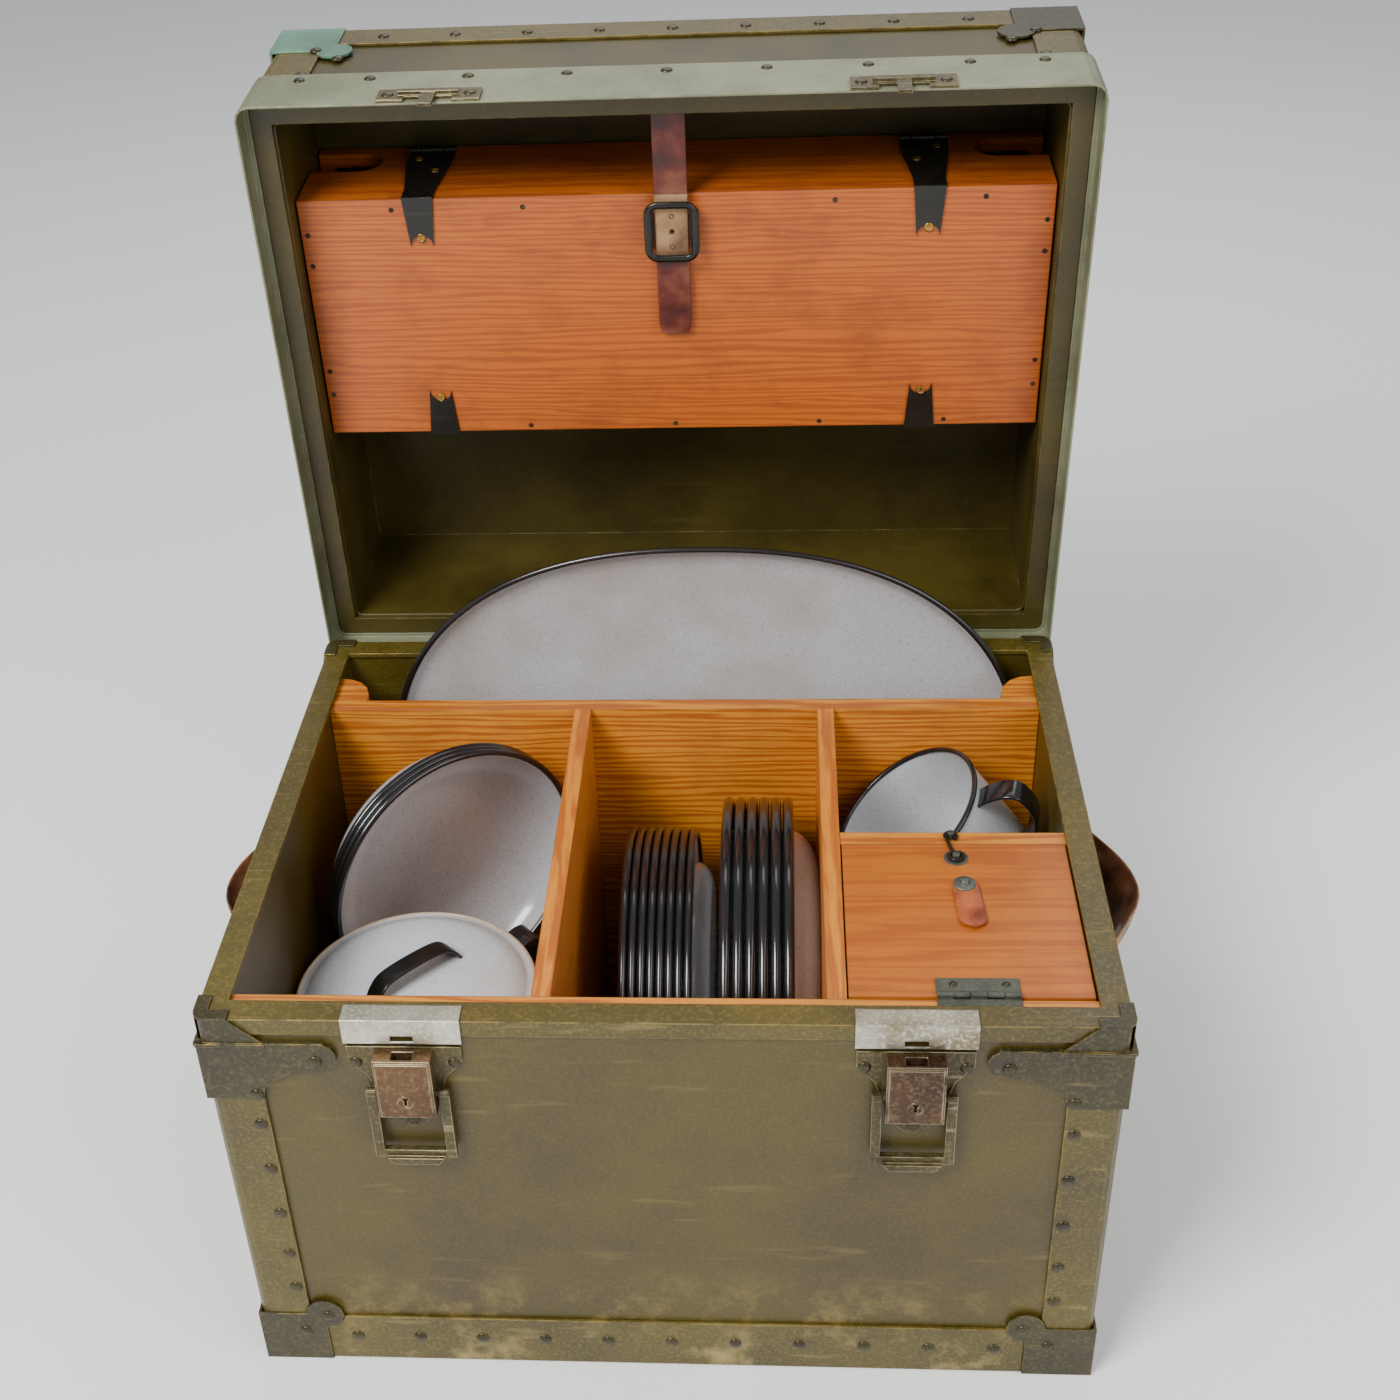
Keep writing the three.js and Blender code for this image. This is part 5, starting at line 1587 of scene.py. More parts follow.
@dataclass
class SideHandle:
    """A padded leather handle, stitched along both edges, on its steel plate."""

    side: Side
    finishes: Finishes
    setter: FastenerSetter
    axis_x: float = 287.5 * MM
    axis_z: float = 235 * MM
    reach: float = 27 * MM
    half_length: float = 80 * MM
    droop: float = math.radians(20)
    stations: int = 40
    sides: int = 28
    stitch_pitch: float = 5.2 * MM

    def build(self) -> None:
        """Builds the grip and its stitches, and dresses the plate."""
        dress(self.finishes.latch, f"handle_plate_{self.side.word}")
        body = Body[f"{self.side.name}_HANDLE"]
        grip = self.grip().piece(f"leather_grip_{self.side.word}", self.finishes.handle_leather,
                                 self.finishes.latch, crease=60.0)
        fit(grip, body, "handle_leather", f"handle_grip_{self.side.word}")
        stitches = self.setter.set_heads(
            f"handle_stitches_{self.side.word}", self.stitch_spots(), Head.STITCH, 1.9 * MM,
            self.finishes.thread)
        fit(stitches, body, "handle_leather")
        self.plate_rivets()

    def frame_at(self, y: float) -> tuple[Vector, Vector, Vector]:
        """The band's centre line at one place along it.

        Args:
            y: distance from the band's middle.

        Returns:
            The centre, the way out of the band's face and the way along it.
        """
        share = math.pi * y / (2 * self.half_length)
        bulge = self.reach * math.cos(share) ** 2
        slope = -self.reach * math.sin(2 * share) * math.pi / (2 * self.half_length)
        s = self.side.value
        droop = Matrix.Rotation(s * self.droop, 3, "Y")
        middle_y = (PLAN.low.y + PLAN.high.y) / 2
        centre = Vector((s * self.axis_x, middle_y, self.axis_z)) + droop @ Vector((s * bulge, y, 0))
        along = (droop @ Vector((s * slope, 1, 0))).normalized()
        out = (droop @ Vector((s, -slope, 0))).normalized()
        return centre, out, along

    def half_height(self, y: float) -> float:
        """Half the band's height at one place along it, broad in the middle and narrow at the ends."""
        share = min(1.0, abs(y) / self.half_length)
        return (19.5 - 12.5 * max(0.0, (share - 0.25) / 0.75) ** 1.6) * MM

    def thickness(self, across: float) -> float:
        """Half the band's thickness at a share of its half height, with its padding in the middle."""
        return (1.35 + 2.0 * math.exp(-(across / 0.5) ** 4)) * MM

    def grip(self) -> Skin:
        """The padded band and the two steel pins at its ends.

        Returns:
            The skin: finish 0 is leather, finish 1 steel.
        """
        rings = []
        for i in range(self.stations + 1):
            y = self.half_length * (2 * i / self.stations - 1)
            centre, out, along = self.frame_at(y)
            up = along.cross(out).normalized()
            ring = []
            for k in range(self.sides):
                angle = 2 * math.pi * k / self.sides
                share = math.copysign(abs(math.cos(angle)) ** 0.7, math.cos(angle))
                round_off = math.copysign(abs(math.sin(angle)) ** 0.45, math.sin(angle))
                across = up * share * self.half_height(y)
                ring.append(centre + across + out * self.thickness(share) * round_off)
            rings.append(ring)
        skin = Skin()
        skin.loft(rings)
        for end in (-1, 1):
            inner, out, _ = self.frame_at(end * (self.half_length - 4 * MM))
            bar = [inner + Vector((0, end * d * MM, 0)) for d in (0, 5, 9.6, 10)]
            radii = (2.3 * MM, 2.3 * MM, 2.3 * MM, 1.6 * MM)
            rings = [[p + Vector((r * math.cos(a * math.pi / 8), 0, r * math.sin(a * math.pi / 8)))
                      for a in range(16)] for p, r in zip(bar, radii)]
            skin.loft(rings, mark=1)
        return skin

    def stitch_spots(self) -> list[Spot]:
        """Places for two rows of stitches near the edges of the outer face."""
        spots = []
        count = int(2 * (self.half_length - 9 * MM) / self.stitch_pitch)
        for i in range(count + 1):
            y = -self.half_length + 9 * MM + i * self.stitch_pitch
            centre, out, along = self.frame_at(y)
            up = along.cross(out).normalized()
            for edge in (-1, 1):
                share = 1 - 4.6 * MM / self.half_height(y)
                lift = self.thickness(share) * (1 - share ** 2) ** 0.32
                at = centre + up * edge * share * self.half_height(y) + out * lift
                spots.append(Spot(at, out, along))
        return spots

    def plate_rivets(self) -> None:
        """Sets four rivets in the handle's plate."""
        middle_y = (PLAN.low.y + PLAN.high.y) / 2
        wall = Wall[self.side.name]
        spots = [PLAN.spot(wall, middle_y + y * MM, self.axis_z + z * MM, 2.1 * MM)
                 for y in (-91, 91, -60, 60) for z in (-14, 14)]
        rivets = self.setter.set_heads(f"handle_rivets_{self.side.word}", spots, Head.RIVET, 3.6 * MM,
                                       self.finishes.rivet)
        fit(rivets, Body.TRUNK, "latch")


# ---- till, strap and buckle -----------------------------------------------------------------------
@dataclass
class Till:
    """The fall-front till in the lid, with its strap hinges, nails and screws."""

    finishes: Finishes
    setter: FastenerSetter
    face: float = 339 * MM
    hinge_x: float = 176 * MM
    catch_height: float = 420 * MM

    def build(self) -> None:
        """Dresses the CAD till and sets its nails, screws and spare knuckles."""
        dress(self.finishes.till_wood, "till_frame", "till_front_panel")
        dress(self.finishes.iron, *(f"till_{kind}_{side.word}" for side in Side
                                    for kind in ("catch_leaf", "hinge_leaf", "hinge_lid_leaf")))
        self.edge_y = LID_SPACE.pivot.y - 359 * MM
        self.heel_y = LID_SPACE.pivot.y - 177 * MM
        self.nails()
        self.screws()
        self.knuckles()

    def nails(self) -> None:
        """Sets nails round the edge of the front panel."""
        outward = Vector((0, 0, -1))
        top = [(x * MM, self.edge_y + 7.5 * MM) for x in (-195, -103, 112, 214)]
        heel = [(x * MM, self.heel_y - 4 * MM) for x in (-111, -3, 103, 194)]
        ends = [(side.value * 256.5 * MM, self.edge_y + d * MM) for side in Side for d in (25, 48, 131, 150)]
        spots = [Spot(Vector((x, y, self.face)), outward).on_lid() for x, y in top + heel + ends]
        nails = self.setter.set_heads("till_nails", spots, Head.NAIL, 2.0 * MM, self.finishes.nail)
        fit(nails, Body.TILL, "till_wood")

    def screws(self) -> None:
        """Sets ringed screws in the strap hinges."""
        spots = []
        proud = 1.6 * MM
        for side in Side:
            x = side.value * self.hinge_x
            for y in (self.edge_y + 28 * MM, self.heel_y - 29 * MM):
                spots.append(Spot(Vector((x, y, self.face - proud)), Vector((0, 0, -1)), Vector((0.4, 1, 0))))
            for dx, height in ((8.5 * MM, 407 * MM), (-6.5 * MM, 385 * MM)):
                across = x + side.value * dx
                front = Vector((across, self.edge_y - proud, height))
                back = Vector((across, self.heel_y + proud, height))
                spots.append(Spot(front, Vector((0, -1, 0)), Vector((1, 0, 0.7))))
                spots.append(Spot(back, Vector((0, 1, 0)), Vector((1, 0, 0.3))))
        placed = [s.on_lid() for s in spots]
        fit(self.setter.set_heads("till_hinge_screws", placed, Head.SCREW, 3.3 * MM, self.finishes.brass),
            Body.TILL, "black_iron")

    def knuckles(self) -> None:
        """Rolls the outer knuckles of the upper pair of hinges."""
        radius = 2.8 * MM
        ends = (8.6 * MM, 9.2 * MM, 16.4 * MM, 17.0 * MM)
        skin = Skin()
        for side in Side:
            for way in (-1, 1):
                rings = []
                for reach, r in zip(ends, (radius - 0.5 * MM, radius, radius, radius - 0.5 * MM)):
                    x = side.value * self.hinge_x + way * reach
                    hub = (x, self.edge_y - 3.2 * MM, self.catch_height)
                    rings.append([LID_SPACE.place((hub[0], hub[1] + a, hub[2] + b))
                                  for a, b in arc((0.0, 0.0), r, 0, 345, 23)])
                skin.loft(rings)
        fit(skin.piece("till_catch_knuckles", self.finishes.iron), Body.TILL, "black_iron")


@dataclass
class TillStrap:
    """The leather strap over the till and its black buckle."""

    finishes: Finishes
    setter: FastenerSetter
    half_width: float = 11.5 * MM
    thickness: float = 2.8 * MM
    lie: float = 332.4 * MM

    def build(self) -> None:
        """Builds the strap, its holes and the buckle."""
        self.pivot_y = LID_SPACE.pivot.y
        strap = self.strap().piece("leather_strap", self.finishes.strap_leather, self.finishes.worn_leather)
        fit(strap, Body.LID, "strap_leather", "till_strap")
        self.holes()
        fit(self.buckle().piece("black_buckle", self.finishes.iron, crease=50.0), Body.TILL, "black_iron",
            "strap_buckle")

    def centre_line(self) -> list[Vector]:
        """The strap's centre line on the shut lid, from its anchor to its tail."""
        knots = [(-422.6, -1.0), (-400, -1.0), (-375, -1.0), (-361, -0.5), (-345, 0.0), (-319, 0.0),
                 (-295, 0.3), (-275, 0.9), (-256.5, 1.5)]
        middle = self.thickness / 2
        line = [Vector((0, self.pivot_y + y * MM, self.lie + z * MM + middle)) for y, z in knots]
        return smooth_path(line, 5)

    def strap(self) -> Skin:
        """The strap: a crowned band with eased edges and a ragged tail.

        Returns:
            The skin: finish 0 is the dark leather, finish 1 the rubbed stretch in the buckle.
        """
        path = self.centre_line()
        section = rounded(self.half_width, self.thickness / 2, 1.1 * MM, 3)
        down = Vector((0, 0, -1))
        rings = []
        for i, here in enumerate(path):
            tail = max(0.0, (i - len(path) + 4) / 4)
            ragged = 1 - 0.25 * tail ** 2
            crease = 0.12 * MM * math.sin(i * 1.9)
            thin = 1 - 0.5 * tail
            rings.append([LID_SPACE.place(here + Vector((a * ragged, 0, 0)) + down * (b * thin + crease))
                          for a, b in section])
        skin = Skin()
        from_buckle, to_buckle = 15, 26
        skin.loft(rings)
        count = len(section)
        for f in range((len(rings) - 1) * count):
            if from_buckle <= f // count < to_buckle:
                skin.marks[f] = 1
        return skin

    def holes(self) -> None:
        """Punches the row of holes, shown as sunk rings in the dark nail finish; the dark is painted shade
        for the inside of each hole.
        """
        surface = self.lie - 0.1 * MM
        spots = [Spot(Vector((0.0, self.pivot_y + y * MM, surface)), Vector((0, 0, -1))).on_lid()
                 for y in (-370, -345, -334, -323)]
        fit(self.setter.set_heads("strap_holes", spots, Head.HOLE, 1.9 * MM, self.finishes.nail), Body.LID,
            "strap_leather")

    def buckle(self) -> Skin:
        """The pillow-shaped frame and its two feet.

        Returns:
            The skin.
        """
        middle = Vector((0, self.pivot_y - 335 * MM, self.lie - 3.2 * MM))
        outline = rounded(16.4 * MM, 19.4 * MM, 7 * MM, 6)
        path = [middle + Vector((x, y, 0)) for x, y in outline]
        turns = [a * math.pi / 7 for a in range(14)]
        oval = [(2.6 * MM * math.cos(a), 1.8 * MM * math.sin(a)) for a in turns]
        skin = swept(path, oval, Vector((0, 0, -1)), looped=True)
        parts = [skin]
        for side in Side:
            x = side.value * 15.8 * MM
            foot = [Vector((x, middle.y + way * 13 * MM, self.lie + 2.3 * MM)) for way in (-1, 1)]
            parts.append(swept(foot, rounded(2.6 * MM, 3.6 * MM, 0.8 * MM, 2), Vector((0, 0, 1))))
        whole = Skin()
        for part in parts:
            whole.take(part)
        whole.points = [LID_SPACE.place(p) for p in whole.points]
        return whole


# ---- rack and utensil box -------------------------------------------------------------------------
@dataclass
class Rack:
    """The pine rack and the plywood lid of its utensil box, with hinge, tab and wire hook."""

    finishes: Finishes
    setter: FastenerSetter
    top: float = 309 * MM
    hook_pivot: tuple[float, float] = (188 * MM, -126.4 * MM)
    hook_eye: tuple[float, float] = (186 * MM, -104.9 * MM)
    tab_screw: tuple[float, float] = (191 * MM, -156 * MM)

    def build(self) -> None:
        """Dresses the boards and builds the small parts on the utensil box."""
        dress(self.finishes.pine, "rack_front_board", "rack_rear_board", "rack_cross_board")
        dress(self.finishes.pine_across, "rack_left_divider", "rack_right_divider")
        dress(self.finishes.ply, "utensil_lid")
        dress(self.finishes.grey_hinge, "utensil_hinge_fixed_leaf", "utensil_hinge_lid_leaf")
        dress(self.finishes.iron, "box_hook")
        fit(self.tab().piece("pull_tab", self.finishes.tab_leather), Body.UTENSIL_COVER, "handle_leather")
        self.fasteners()
        self.posts()

    def tab(self) -> Skin:
        """The leather pull tab, round at its loose end and curling up a little.

        Returns:
            The skin.
        """
        x, y = self.tab_screw
        length, half, thick = 49 * MM, 8.6 * MM, 1.1 * MM
        rings = []
        steps = 18
        for i in range(steps + 1):
            share = i / steps
            along = share * length - 7 * MM
            ease = min(share, 1 - share) / 0.16
            narrow = half * (1.0 if ease >= 1 else math.sqrt(max(0.02, 1 - (1 - ease) ** 2)))
            lift = 0.25 * MM + thick + 3.2 * MM * max(0.0, share - 0.45) ** 2
            lean = 3.0 * MM * share
            section = rounded(narrow, thick, min(0.8 * MM, narrow * 0.5), 3)
            rings.append([Vector((x + lean + a, y - along, self.top + lift + b)) for a, b in section])
        skin = Skin()
        skin.loft(rings)
        return skin

    def fasteners(self) -> None:
        """Sets the tab's washer and the rivets of the butt hinge."""
        up = Vector((0, 0, 1))
        x, y = self.tab_screw
        washer = self.setter.set_heads(
            "tab_washer", [Spot(Vector((x, y, self.top + 2.4 * MM)), up)], Head.WASHER, 7.6 * MM,
            self.finishes.grey_hinge)
        fit(washer, Body.UTENSIL_COVER, "worn_steel")
        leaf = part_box("utensil_hinge_lid_leaf")
        surface = self.top + 1.5 * MM
        moving = [Spot(Vector((hx * MM, leaf[1][1] - 5.5 * MM, surface)), up) for hx in (176.5, 208)]
        fit(self.setter.set_heads("box_hinge_rivets", moving, Head.RIVET, 2.7 * MM, self.finishes.rivet),
            Body.UTENSIL_COVER, "worn_steel")

    def posts(self) -> None:
        """Builds the hook's washer and pivot, and the post that it catches."""
        x, y = self.hook_pivot
        pivot = [(0.0, -1.0), (8.0, -1.0), (8.0, 0.35), (7.6, 0.45), (2.7, 0.45), (2.6, 3.4),
                 (2.2, 4.0), (0.0, 4.4)]
        skin = spun([(r * MM, h * MM) for r, h in pivot], 32).moved(Matrix.Translation((x, y, self.top)))
        fit(skin.piece("hook_pivot_washer", self.finishes.grey_hinge), Body.UTENSIL_COVER, "worn_steel")
        x, y = self.hook_eye
        post = [(0.0, -2.0), (2.2, -2.0), (2.2, 3.6), (2.5, 4.2), (2.2, 5.0), (0.0, 5.4)]
        skin = spun([(r * MM, h * MM) for r, h in post], 20).moved(Matrix.Translation((x, y, self.top)))
        fit(skin.piece("hook_post", self.finishes.grey_hinge), Body.TRUNK, "worn_steel")


# ---- enamelled ware --------------------------------------------------------------------------------
def seat(node: str, *pieces: bpy.types.Object) -> None:
    """Moves pieces together so that the middle of their box is the middle of a CAD node's box.

    Args:
        node: the CAD node that they stand for.
        pieces: the pieces, moved in their meshes.
    """
    points = [v.co for piece in pieces for v in piece.data.vertices]
    middle = Vector([(min(p[i] for p in points) + max(p[i] for p in points)) / 2 for i in range(3)])
    low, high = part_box(node)
    shift = (Vector(low) + Vector(high)) / 2 - middle
    for piece in pieces:
        piece.data.transform(Matrix.Translation(shift))


def attitude(x: float, y: float, z: float) -> Matrix:
    """How a dish lies: turned about Z, then Y, then X, in degrees."""
    turns = [Matrix.Rotation(math.radians(a), 4, axis) for a, axis in ((x, "X"), (y, "Y"), (z, "Z"))]
    return turns[0] @ turns[1] @ turns[2]


@dataclass(frozen=True)
class Dish:
    """A pressed and enamelled dish with a rolled rim, drawn mouth up with its rim at z 0."""

    radius: float
    depth: float
    foot: float
    brim: float
    bead: float = 1.7 * MM
    sheet: float = 1.1 * MM
    segments: int = 96
    stretch: float = 1.0
    square: float = 2.0

    def shell(self) -> Skin:
        """The pressed sheet, from its middle out to the rim and back underneath."""
        well = self.radius - self.brim
        inside = [(0.0, -self.depth), (self.foot * 0.6, -self.depth), (self.foot, -self.depth + 0.4 * MM)]
        steps = 9
        for i in range(1, steps):
            t = i / steps
            inside.append((self.foot + (well - self.foot) * math.sin(t * math.pi / 2) ** 1.15,
                           -self.depth + (self.depth - 2 * MM) * (1 - math.cos(t * math.pi / 2)) ** 0.9))
        inside += [(well, -1.8 * MM), (well + self.brim * 0.35, -0.9 * MM),
                   (self.radius - self.bead * 1.2, -0.3 * MM)]
        outside = [(r, h - self.sheet) for r, h in inside]
        return spun([*inside, *reversed(outside)], self.segments, 0, self.stretch, self.square)

    def rim(self) -> Skin:
        """The rolled rim."""
        middle = (self.radius - self.bead, -self.bead * 0.4)
        return spun(arc(middle, self.bead, 0, 330, 11), self.segments, 0, self.stretch, self.square)


@dataclass
class Ware:
    """The mess ware in the rack."""

    finishes: Finishes

    def build(self) -> None:
        """Builds every dish."""
        self.platter()
        bowl = Dish(103 * MM, 40 * MM, 48 * MM, 6 * MM, bead=2.5 * MM)
        plate = Dish(125 * MM, 14 * MM, 84 * MM, 26 * MM, bead=2.9 * MM)
        self.nest("mixing_bowls", Body.BOWLS, bowl, 3, 5.5 * MM, attitude(87.8, 40, 0))
        self.nest("plates", Body.PLATES, plate, 8, 6.3 * MM, attitude(0, -90, 0))
        self.nest("soup_bowls", Body.SOUP_BOWLS, Dish(141 * MM, 24 * MM, 84 * MM, 24 * MM, bead=3.8 * MM), 6,
                  8.4 * MM, attitude(0, -90, 0))
        self.pot()
        self.pot_cover()
        self.cup()

    def enamelled(self, name: str, skin: Skin, finish: bpy.types.Material) -> bpy.types.Object:
        """Makes an unplaced piece of the ware.

        Args:
            name: its name.
            skin: its shape.
            finish: its enamel.

        Returns:
            The piece.
        """
        return skin.piece(name, finish, crease=50.0)

    def place(self, node: str, body: Body, turn: Matrix, *pieces: bpy.types.Object) -> None:
        """Turns pieces as the dish lies, seats them on their CAD node and fixes them to its body.

        Args:
            node: the CAD node that they stand for.
            body: its body.
            turn: how the dish lies.
            pieces: the pieces; the first one replaces the node.
        """
        for piece in pieces:
            piece.data.transform(turn)
        seat(node, *pieces)
        for piece in pieces:
            fit(piece, body, "enamel", *((node,) if piece is pieces[0] else ()))

    def platter(self) -> None:
        """The big oblong platter stood on edge behind the rack."""
        dish = Dish(196 * MM, 18 * MM, 100 * MM, 5 * MM, bead=2.0 * MM, segments=160,
                    stretch=246 / 198, square=2.35)
        shell = self.enamelled("platter_dish", dish.shell(), self.finishes.enamel)
        rim = self.enamelled("platter_rim", dish.rim(), self.finishes.black_enamel)
        self.place("platter", Body.PLATTER, attitude(88, 0, 0), shell, rim)

    def nest(self, node: str, body: Body, dish: Dish, count: int, pitch: float, turn: Matrix) -> None:
        """A nest of the same dish.

        Args:
            node: the CAD node that it stands for.
            body: its body.
            dish: the dish.
            count: how many.
            pitch: the distance from rim to rim.
            turn: how the nest lies.
        """
        pieces = []
        for part, skin, finish in (("dishes", dish.shell(), self.finishes.enamel),
                                   ("rims", dish.rim(), self.finishes.black_enamel)):
            pattern = self.enamelled(f"{node}_{part}_pattern", skin, finish)
            nest = bpy.data.objects.new(f"{node}_{part}", bpy.data.meshes.new(f"{node}_{part}"))
            bpy.context.scene.collection.objects.link(nest)
            modifier = nest.modifiers.new("nest", "NODES")
            modifier.node_group = self.nest_nodes()
            values = {"Dish": pattern, "Count": count, "Pitch": -pitch, "Looseness": 0.0, "Seed": SEED,
                      "Finish": finish}
            pieces.append(settle(nest, modifier, values, pattern))
        self.place(node, body, turn, *pieces)

    def nest_nodes(self) -> bpy.types.GeometryNodeTree:
        """The nest tree, built the first time it is needed."""
        return bpy.data.node_groups.get("nest_of_dishes") or nest_tree()

    def pot(self) -> None:
        """The straight-sided pot and its black loop ear."""
        radius, height, wall = 78 * MM, 192 * MM, 1.6 * MM
        outside = [(0.0, 0.0), (radius - 14 * MM, 0.0), *arc((radius - 13 * MM, 9 * MM), 9 * MM, -75, -5, 6),
                   (radius - 0.8 * MM, height * 0.5), (radius, height)]
        inside = [(max(0.0, r - wall), h + (wall if h < height / 4 else 0.0)) for r, h in outside]
        shell = self.enamelled("pot_wall", spun([*outside, *reversed(inside)], 96), self.finishes.enamel)
        rim = spun(arc((radius, height - 1.8 * MM), 1.8 * MM, 0, 330, 11), 96)
        loop = [Vector((r, 0.0, z)) for r, z in (
            (radius - 1 * MM, height - 6 * MM), (radius + 12 * MM, height - 2 * MM),
            (radius + 20 * MM, height - 5 * MM), (radius + 17 * MM, height - 18 * MM),
            (radius - 1 * MM, height - 34 * MM))]
        ear = swept(smooth_path(loop, 8), rounded(10 * MM, 1.3 * MM, 1 * MM, 3), Vector((0, 0, 1)))
        rim.take(ear)
        trim = self.enamelled("pot_rim_and_ear", rim, self.finishes.black_enamel)
        self.place("pot", Body.POT, attitude(0, 0, 43), shell, trim)

    def pot_cover(self) -> None:
        """The pale domed lid with a tan edge and a black strap handle."""
        radius = 83 * MM
        top = [(0.0, 14.0), (0.3, 13.8), (0.55, 12.7), (0.75, 10.4), (0.86, 7.6),
               (0.915, 3.4), (0.93, 2.4), (1.0, 2.2)]
        upper = [(r * radius, h * MM) for r, h in top]
        lower = [(r, h - 1.2 * MM) for r, h in upper]
        dome = self.enamelled("pot_lid_dome", spun([*upper, *reversed(lower)], 96), self.finishes.pale_enamel)
        roll = spun(arc((radius - 1.3 * MM, 1.5 * MM), 1.4 * MM, 0, 330, 11), 96)
        edge = self.enamelled("pot_lid_edge", roll, self.finishes.tan_edge)
        knots = [(-41, 11.5), (-36, 13.4), (-31, 21), (-22, 27.4), (0, 29), (22, 27.4), (31, 21),
                 (36, 13.4), (41, 11.5)]
        path = smooth_path([Vector((x * MM, 0.0, z * MM - 1.2 * MM)) for x, z in knots], 5)
        strap = swept(path, rounded(7 * MM, 1.1 * MM, 0.9 * MM, 3), Vector((0, 0, 1)))
        handle = self.enamelled("pot_lid_handle", strap, self.finishes.iron)
        self.place("pot_lid", Body.POT_COVER, attitude(0, 0, 45), dome, edge, handle)

    def cup(self) -> None:
        """The large cup with a thick black rim and a black strap handle."""
        radius, height, wall = 59.5 * MM, 80 * MM, 1.5 * MM
        foot = arc((radius - 14 * MM, 11 * MM), 11 * MM, -70, -8, 6)
        outside = [(0.0, 0.0), (radius - 15 * MM, 0.0), *foot,
                   (radius - 1.2 * MM, height * 0.55), (radius, height)]
        inside = [(max(0.0, r - wall), h + (wall if h < height / 4 else 0.0)) for r, h in outside]
        side = spun([*outside, *reversed(inside)], 96)
        wall_piece = self.enamelled("cup_wall", side, self.finishes.pale_enamel)
        roll = spun(arc((radius - 0.4 * MM, height + 0.6 * MM), 2.0 * MM, 0, 330, 11), 96)
        rim = self.enamelled("cup_rim", roll, self.finishes.black_enamel)
        knots = [(-1.5, -7), (10, -5.6), (22, -7.4), (28.6, -14), (29, -28), (24, -42), (11, -54), (-4, -59)]
        path = smooth_path([Vector((radius + r * MM, 0.0, height + h * MM)) for r, h in knots], 5)
        strap = swept(path, rounded(8.5 * MM, 1.2 * MM, 1.0 * MM, 3), Vector((0.6, 0, 1)))
        handle = self.enamelled("cup_handle", strap, self.finishes.black_enamel)
        self.place("cup", Body.CUP, attitude(5.5, -38, -14), wall_piece, rim, handle)


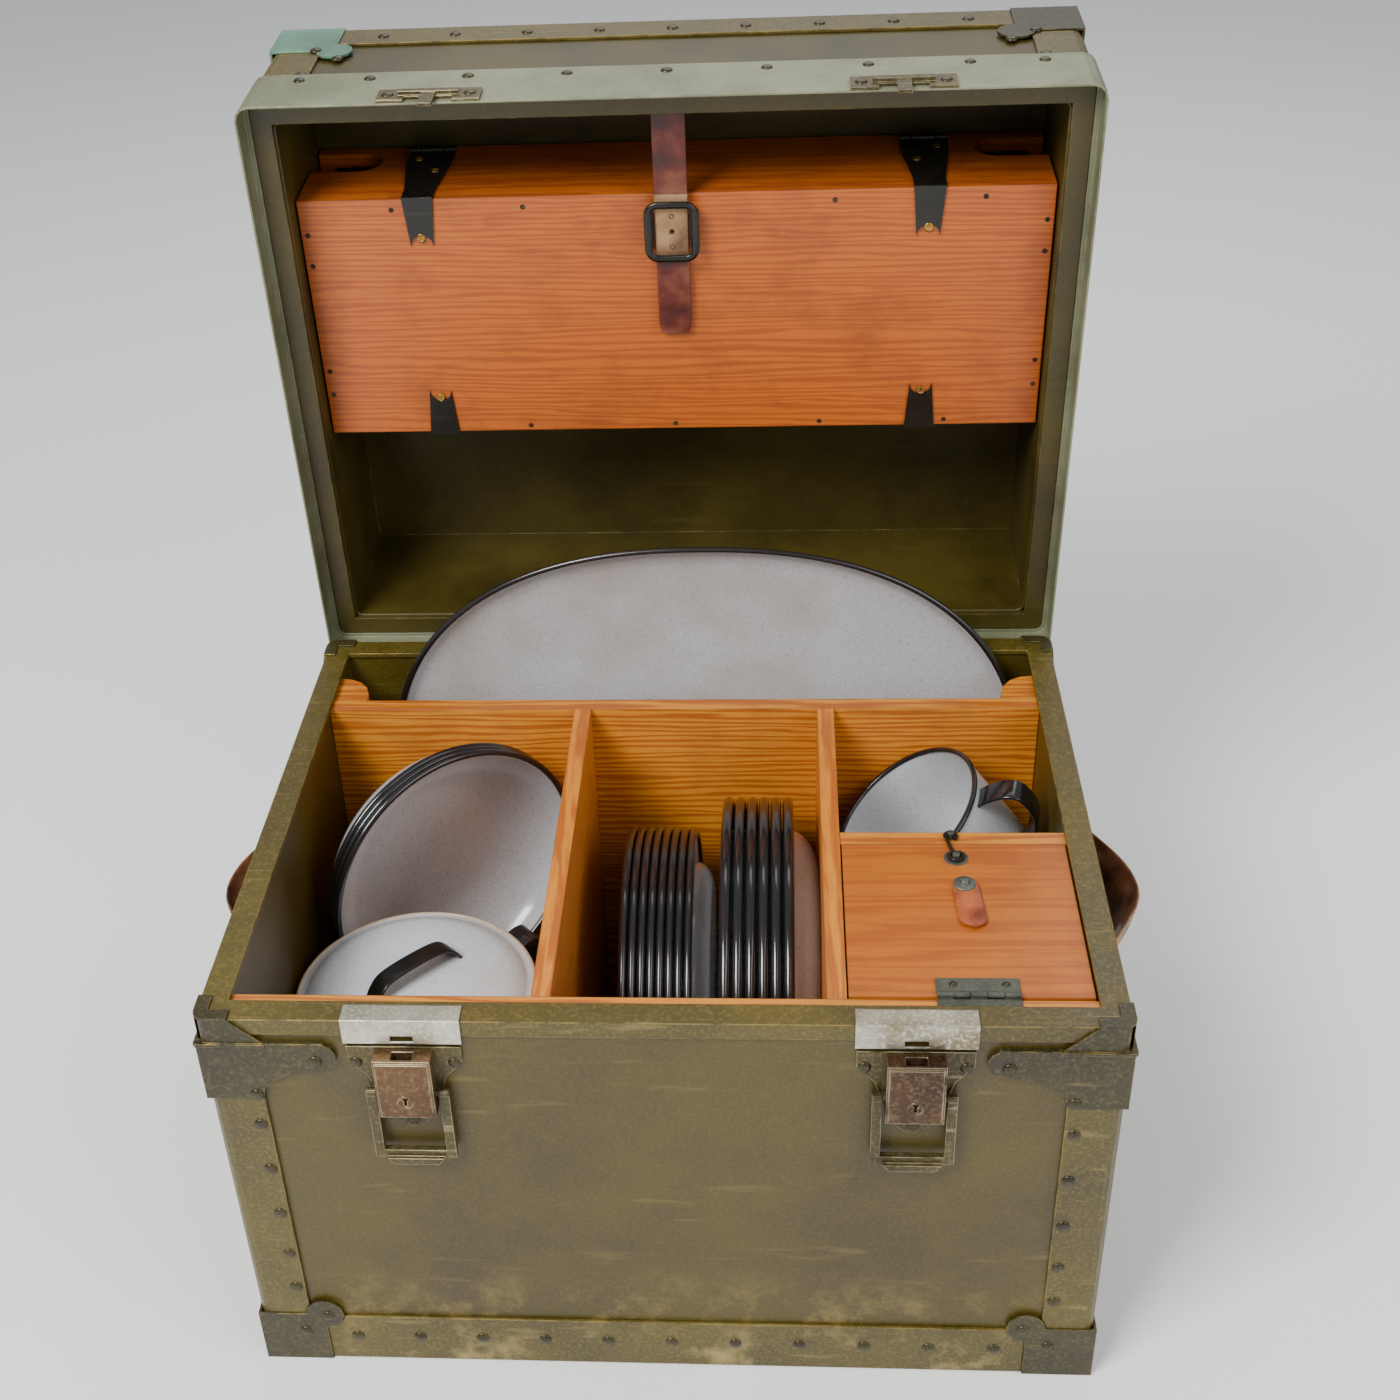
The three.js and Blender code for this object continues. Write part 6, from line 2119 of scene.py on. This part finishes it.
# ---- studio ----------------------------------------------------------------------------------------
@dataclass
class Studio:
    """The pale floor, soft lights and camera."""

    camera_at: Vector = field(default_factory=lambda: Vector((71.5, -1116.9, 1084.2)) * MM)
    pitch: float = math.radians(34.27)
    yaw: float = math.radians(-5.24)
    roll: float = math.radians(-3.08)
    lens: float = 48.92
    shift: tuple[float, float] = (0.0479, 0.0255)

    def build(self) -> None:
        """Sets up everything round the footlocker."""
        self.floor()
        self.sky()
        self.lamp("key", Vector((-1.3, -1.7, 2.6)), 1.2, 120.0)
        self.lamp("fill", Vector((1.9, -1.5, 1.7)), 2.0, 36.0)
        self.lamp("rear", Vector((0.2, 1.6, 2.6)), 2.0, 30.0)
        self.camera()

    def floor(self) -> None:
        """Lays a plain pale floor."""
        material = bpy.data.materials.new("pale_floor")
        material.use_nodes = True
        nodes, links = material.node_tree.nodes, material.node_tree.links
        nodes.clear()
        place = nodes.new("ShaderNodeTexCoord")
        place.label = "place on the floor"
        place.location = (-700, 0)
        mottle = nodes.new("ShaderNodeTexNoise")
        mottle.label = "barely seen mottling"
        mottle.location = (-500, 0)
        mottle.inputs["Scale"].default_value = 3.0
        tone = nodes.new("ShaderNodeValToRGB")
        tone.label = "pale tones"
        tone.location = (-300, 0)
        tone.color_ramp.elements[0].color = paint_chip(244, 244, 242)
        tone.color_ramp.elements[1].color = paint_chip(248, 248, 246)
        shader = nodes.new("ShaderNodeBsdfPrincipled")
        shader.label = "floor"
        shader.location = (0, 0)
        shader.inputs["Roughness"].default_value = 0.8
        output = nodes.new("ShaderNodeOutputMaterial")
        output.label = "finish"
        output.location = (300, 0)
        links.new(place.outputs["Object"], mottle.inputs["Vector"])
        links.new(mottle.outputs["Fac"], tone.inputs["Fac"])
        links.new(tone.outputs["Color"], shader.inputs["Base Color"])
        links.new(shader.outputs["BSDF"], output.inputs["Surface"])
        half = 9.0
        mesh = bpy.data.meshes.new("studio_floor")
        corners = [(-half, -half, 0), (half, -half, 0), (half, half, 0), (-half, half, 0)]
        mesh.from_pydata(corners, [], [(0, 1, 2, 3)])
        mesh.materials.append(material)
        floor = bpy.data.objects.new("studio_floor", mesh)
        bpy.context.scene.collection.objects.link(floor)

    def sky(self) -> None:
        """Fills the room with even pale light."""
        world = bpy.data.worlds.new("studio")
        world.use_nodes = True
        background = world.node_tree.nodes["Background"]
        background.label = "even room light"
        background.inputs["Color"].default_value = (0.93, 0.95, 1.0, 1.0)
        background.inputs["Strength"].default_value = 0.42
        bpy.context.scene.world = world

    def lamp(self, name: str, at: Vector, size: float, power: float) -> None:
        """Hangs a soft square lamp that faces the footlocker.

        Args:
            name: its name.
            at: where it hangs.
            size: the side of its square.
            power: its watts.
        """
        data = bpy.data.lights.new(name, "AREA")
        data.size = size
        data.energy = power
        lamp = bpy.data.objects.new(name, data)
        lamp.location = at
        lamp.rotation_euler = (Vector((0.0, 0.0, 0.3)) - at).to_track_quat("-Z", "Y").to_euler()
        bpy.context.scene.collection.objects.link(lamp)

    def camera(self) -> None:
        """Sets the camera at its viewing angle."""
        ahead = Vector((math.sin(self.yaw) * math.cos(self.pitch), math.cos(self.yaw) * math.cos(self.pitch),
                        -math.sin(self.pitch)))
        level = Vector((math.cos(self.yaw), -math.sin(self.yaw), 0.0))
        upright = level.cross(ahead)
        right = level * math.cos(self.roll) + upright * math.sin(self.roll)
        above = upright * math.cos(self.roll) - level * math.sin(self.roll)
        data = bpy.data.cameras.new("camera")
        data.sensor_width = 36.0
        data.lens = self.lens
        data.shift_x, data.shift_y = self.shift
        camera = bpy.data.objects.new("camera", data)
        turn = Matrix((right, above, -ahead)).transposed().to_4x4()
        camera.matrix_world = Matrix.Translation(self.camera_at) @ turn
        bpy.context.scene.collection.objects.link(camera)
        bpy.context.scene.camera = camera


def main() -> None:
    """Builds the footlocker piece by piece and reports each one."""
    logging.basicConfig(level=logging.INFO, format="%(name)s: %(message)s")
    Studio().build()
    finishes, setter = Finishes(), FastenerSetter()
    TrunkBody(finishes, setter).build()
    LidTray(finishes, setter).build()
    DrawLatches(finishes, setter).build()
    for side in Side:
        SideHandle(side, finishes, setter).build()
    Till(finishes, setter).build()
    TillStrap(finishes, setter).build()
    Rack(finishes, setter).build()
    Ware(finishes).build()


if __name__ == "__main__":
    main()
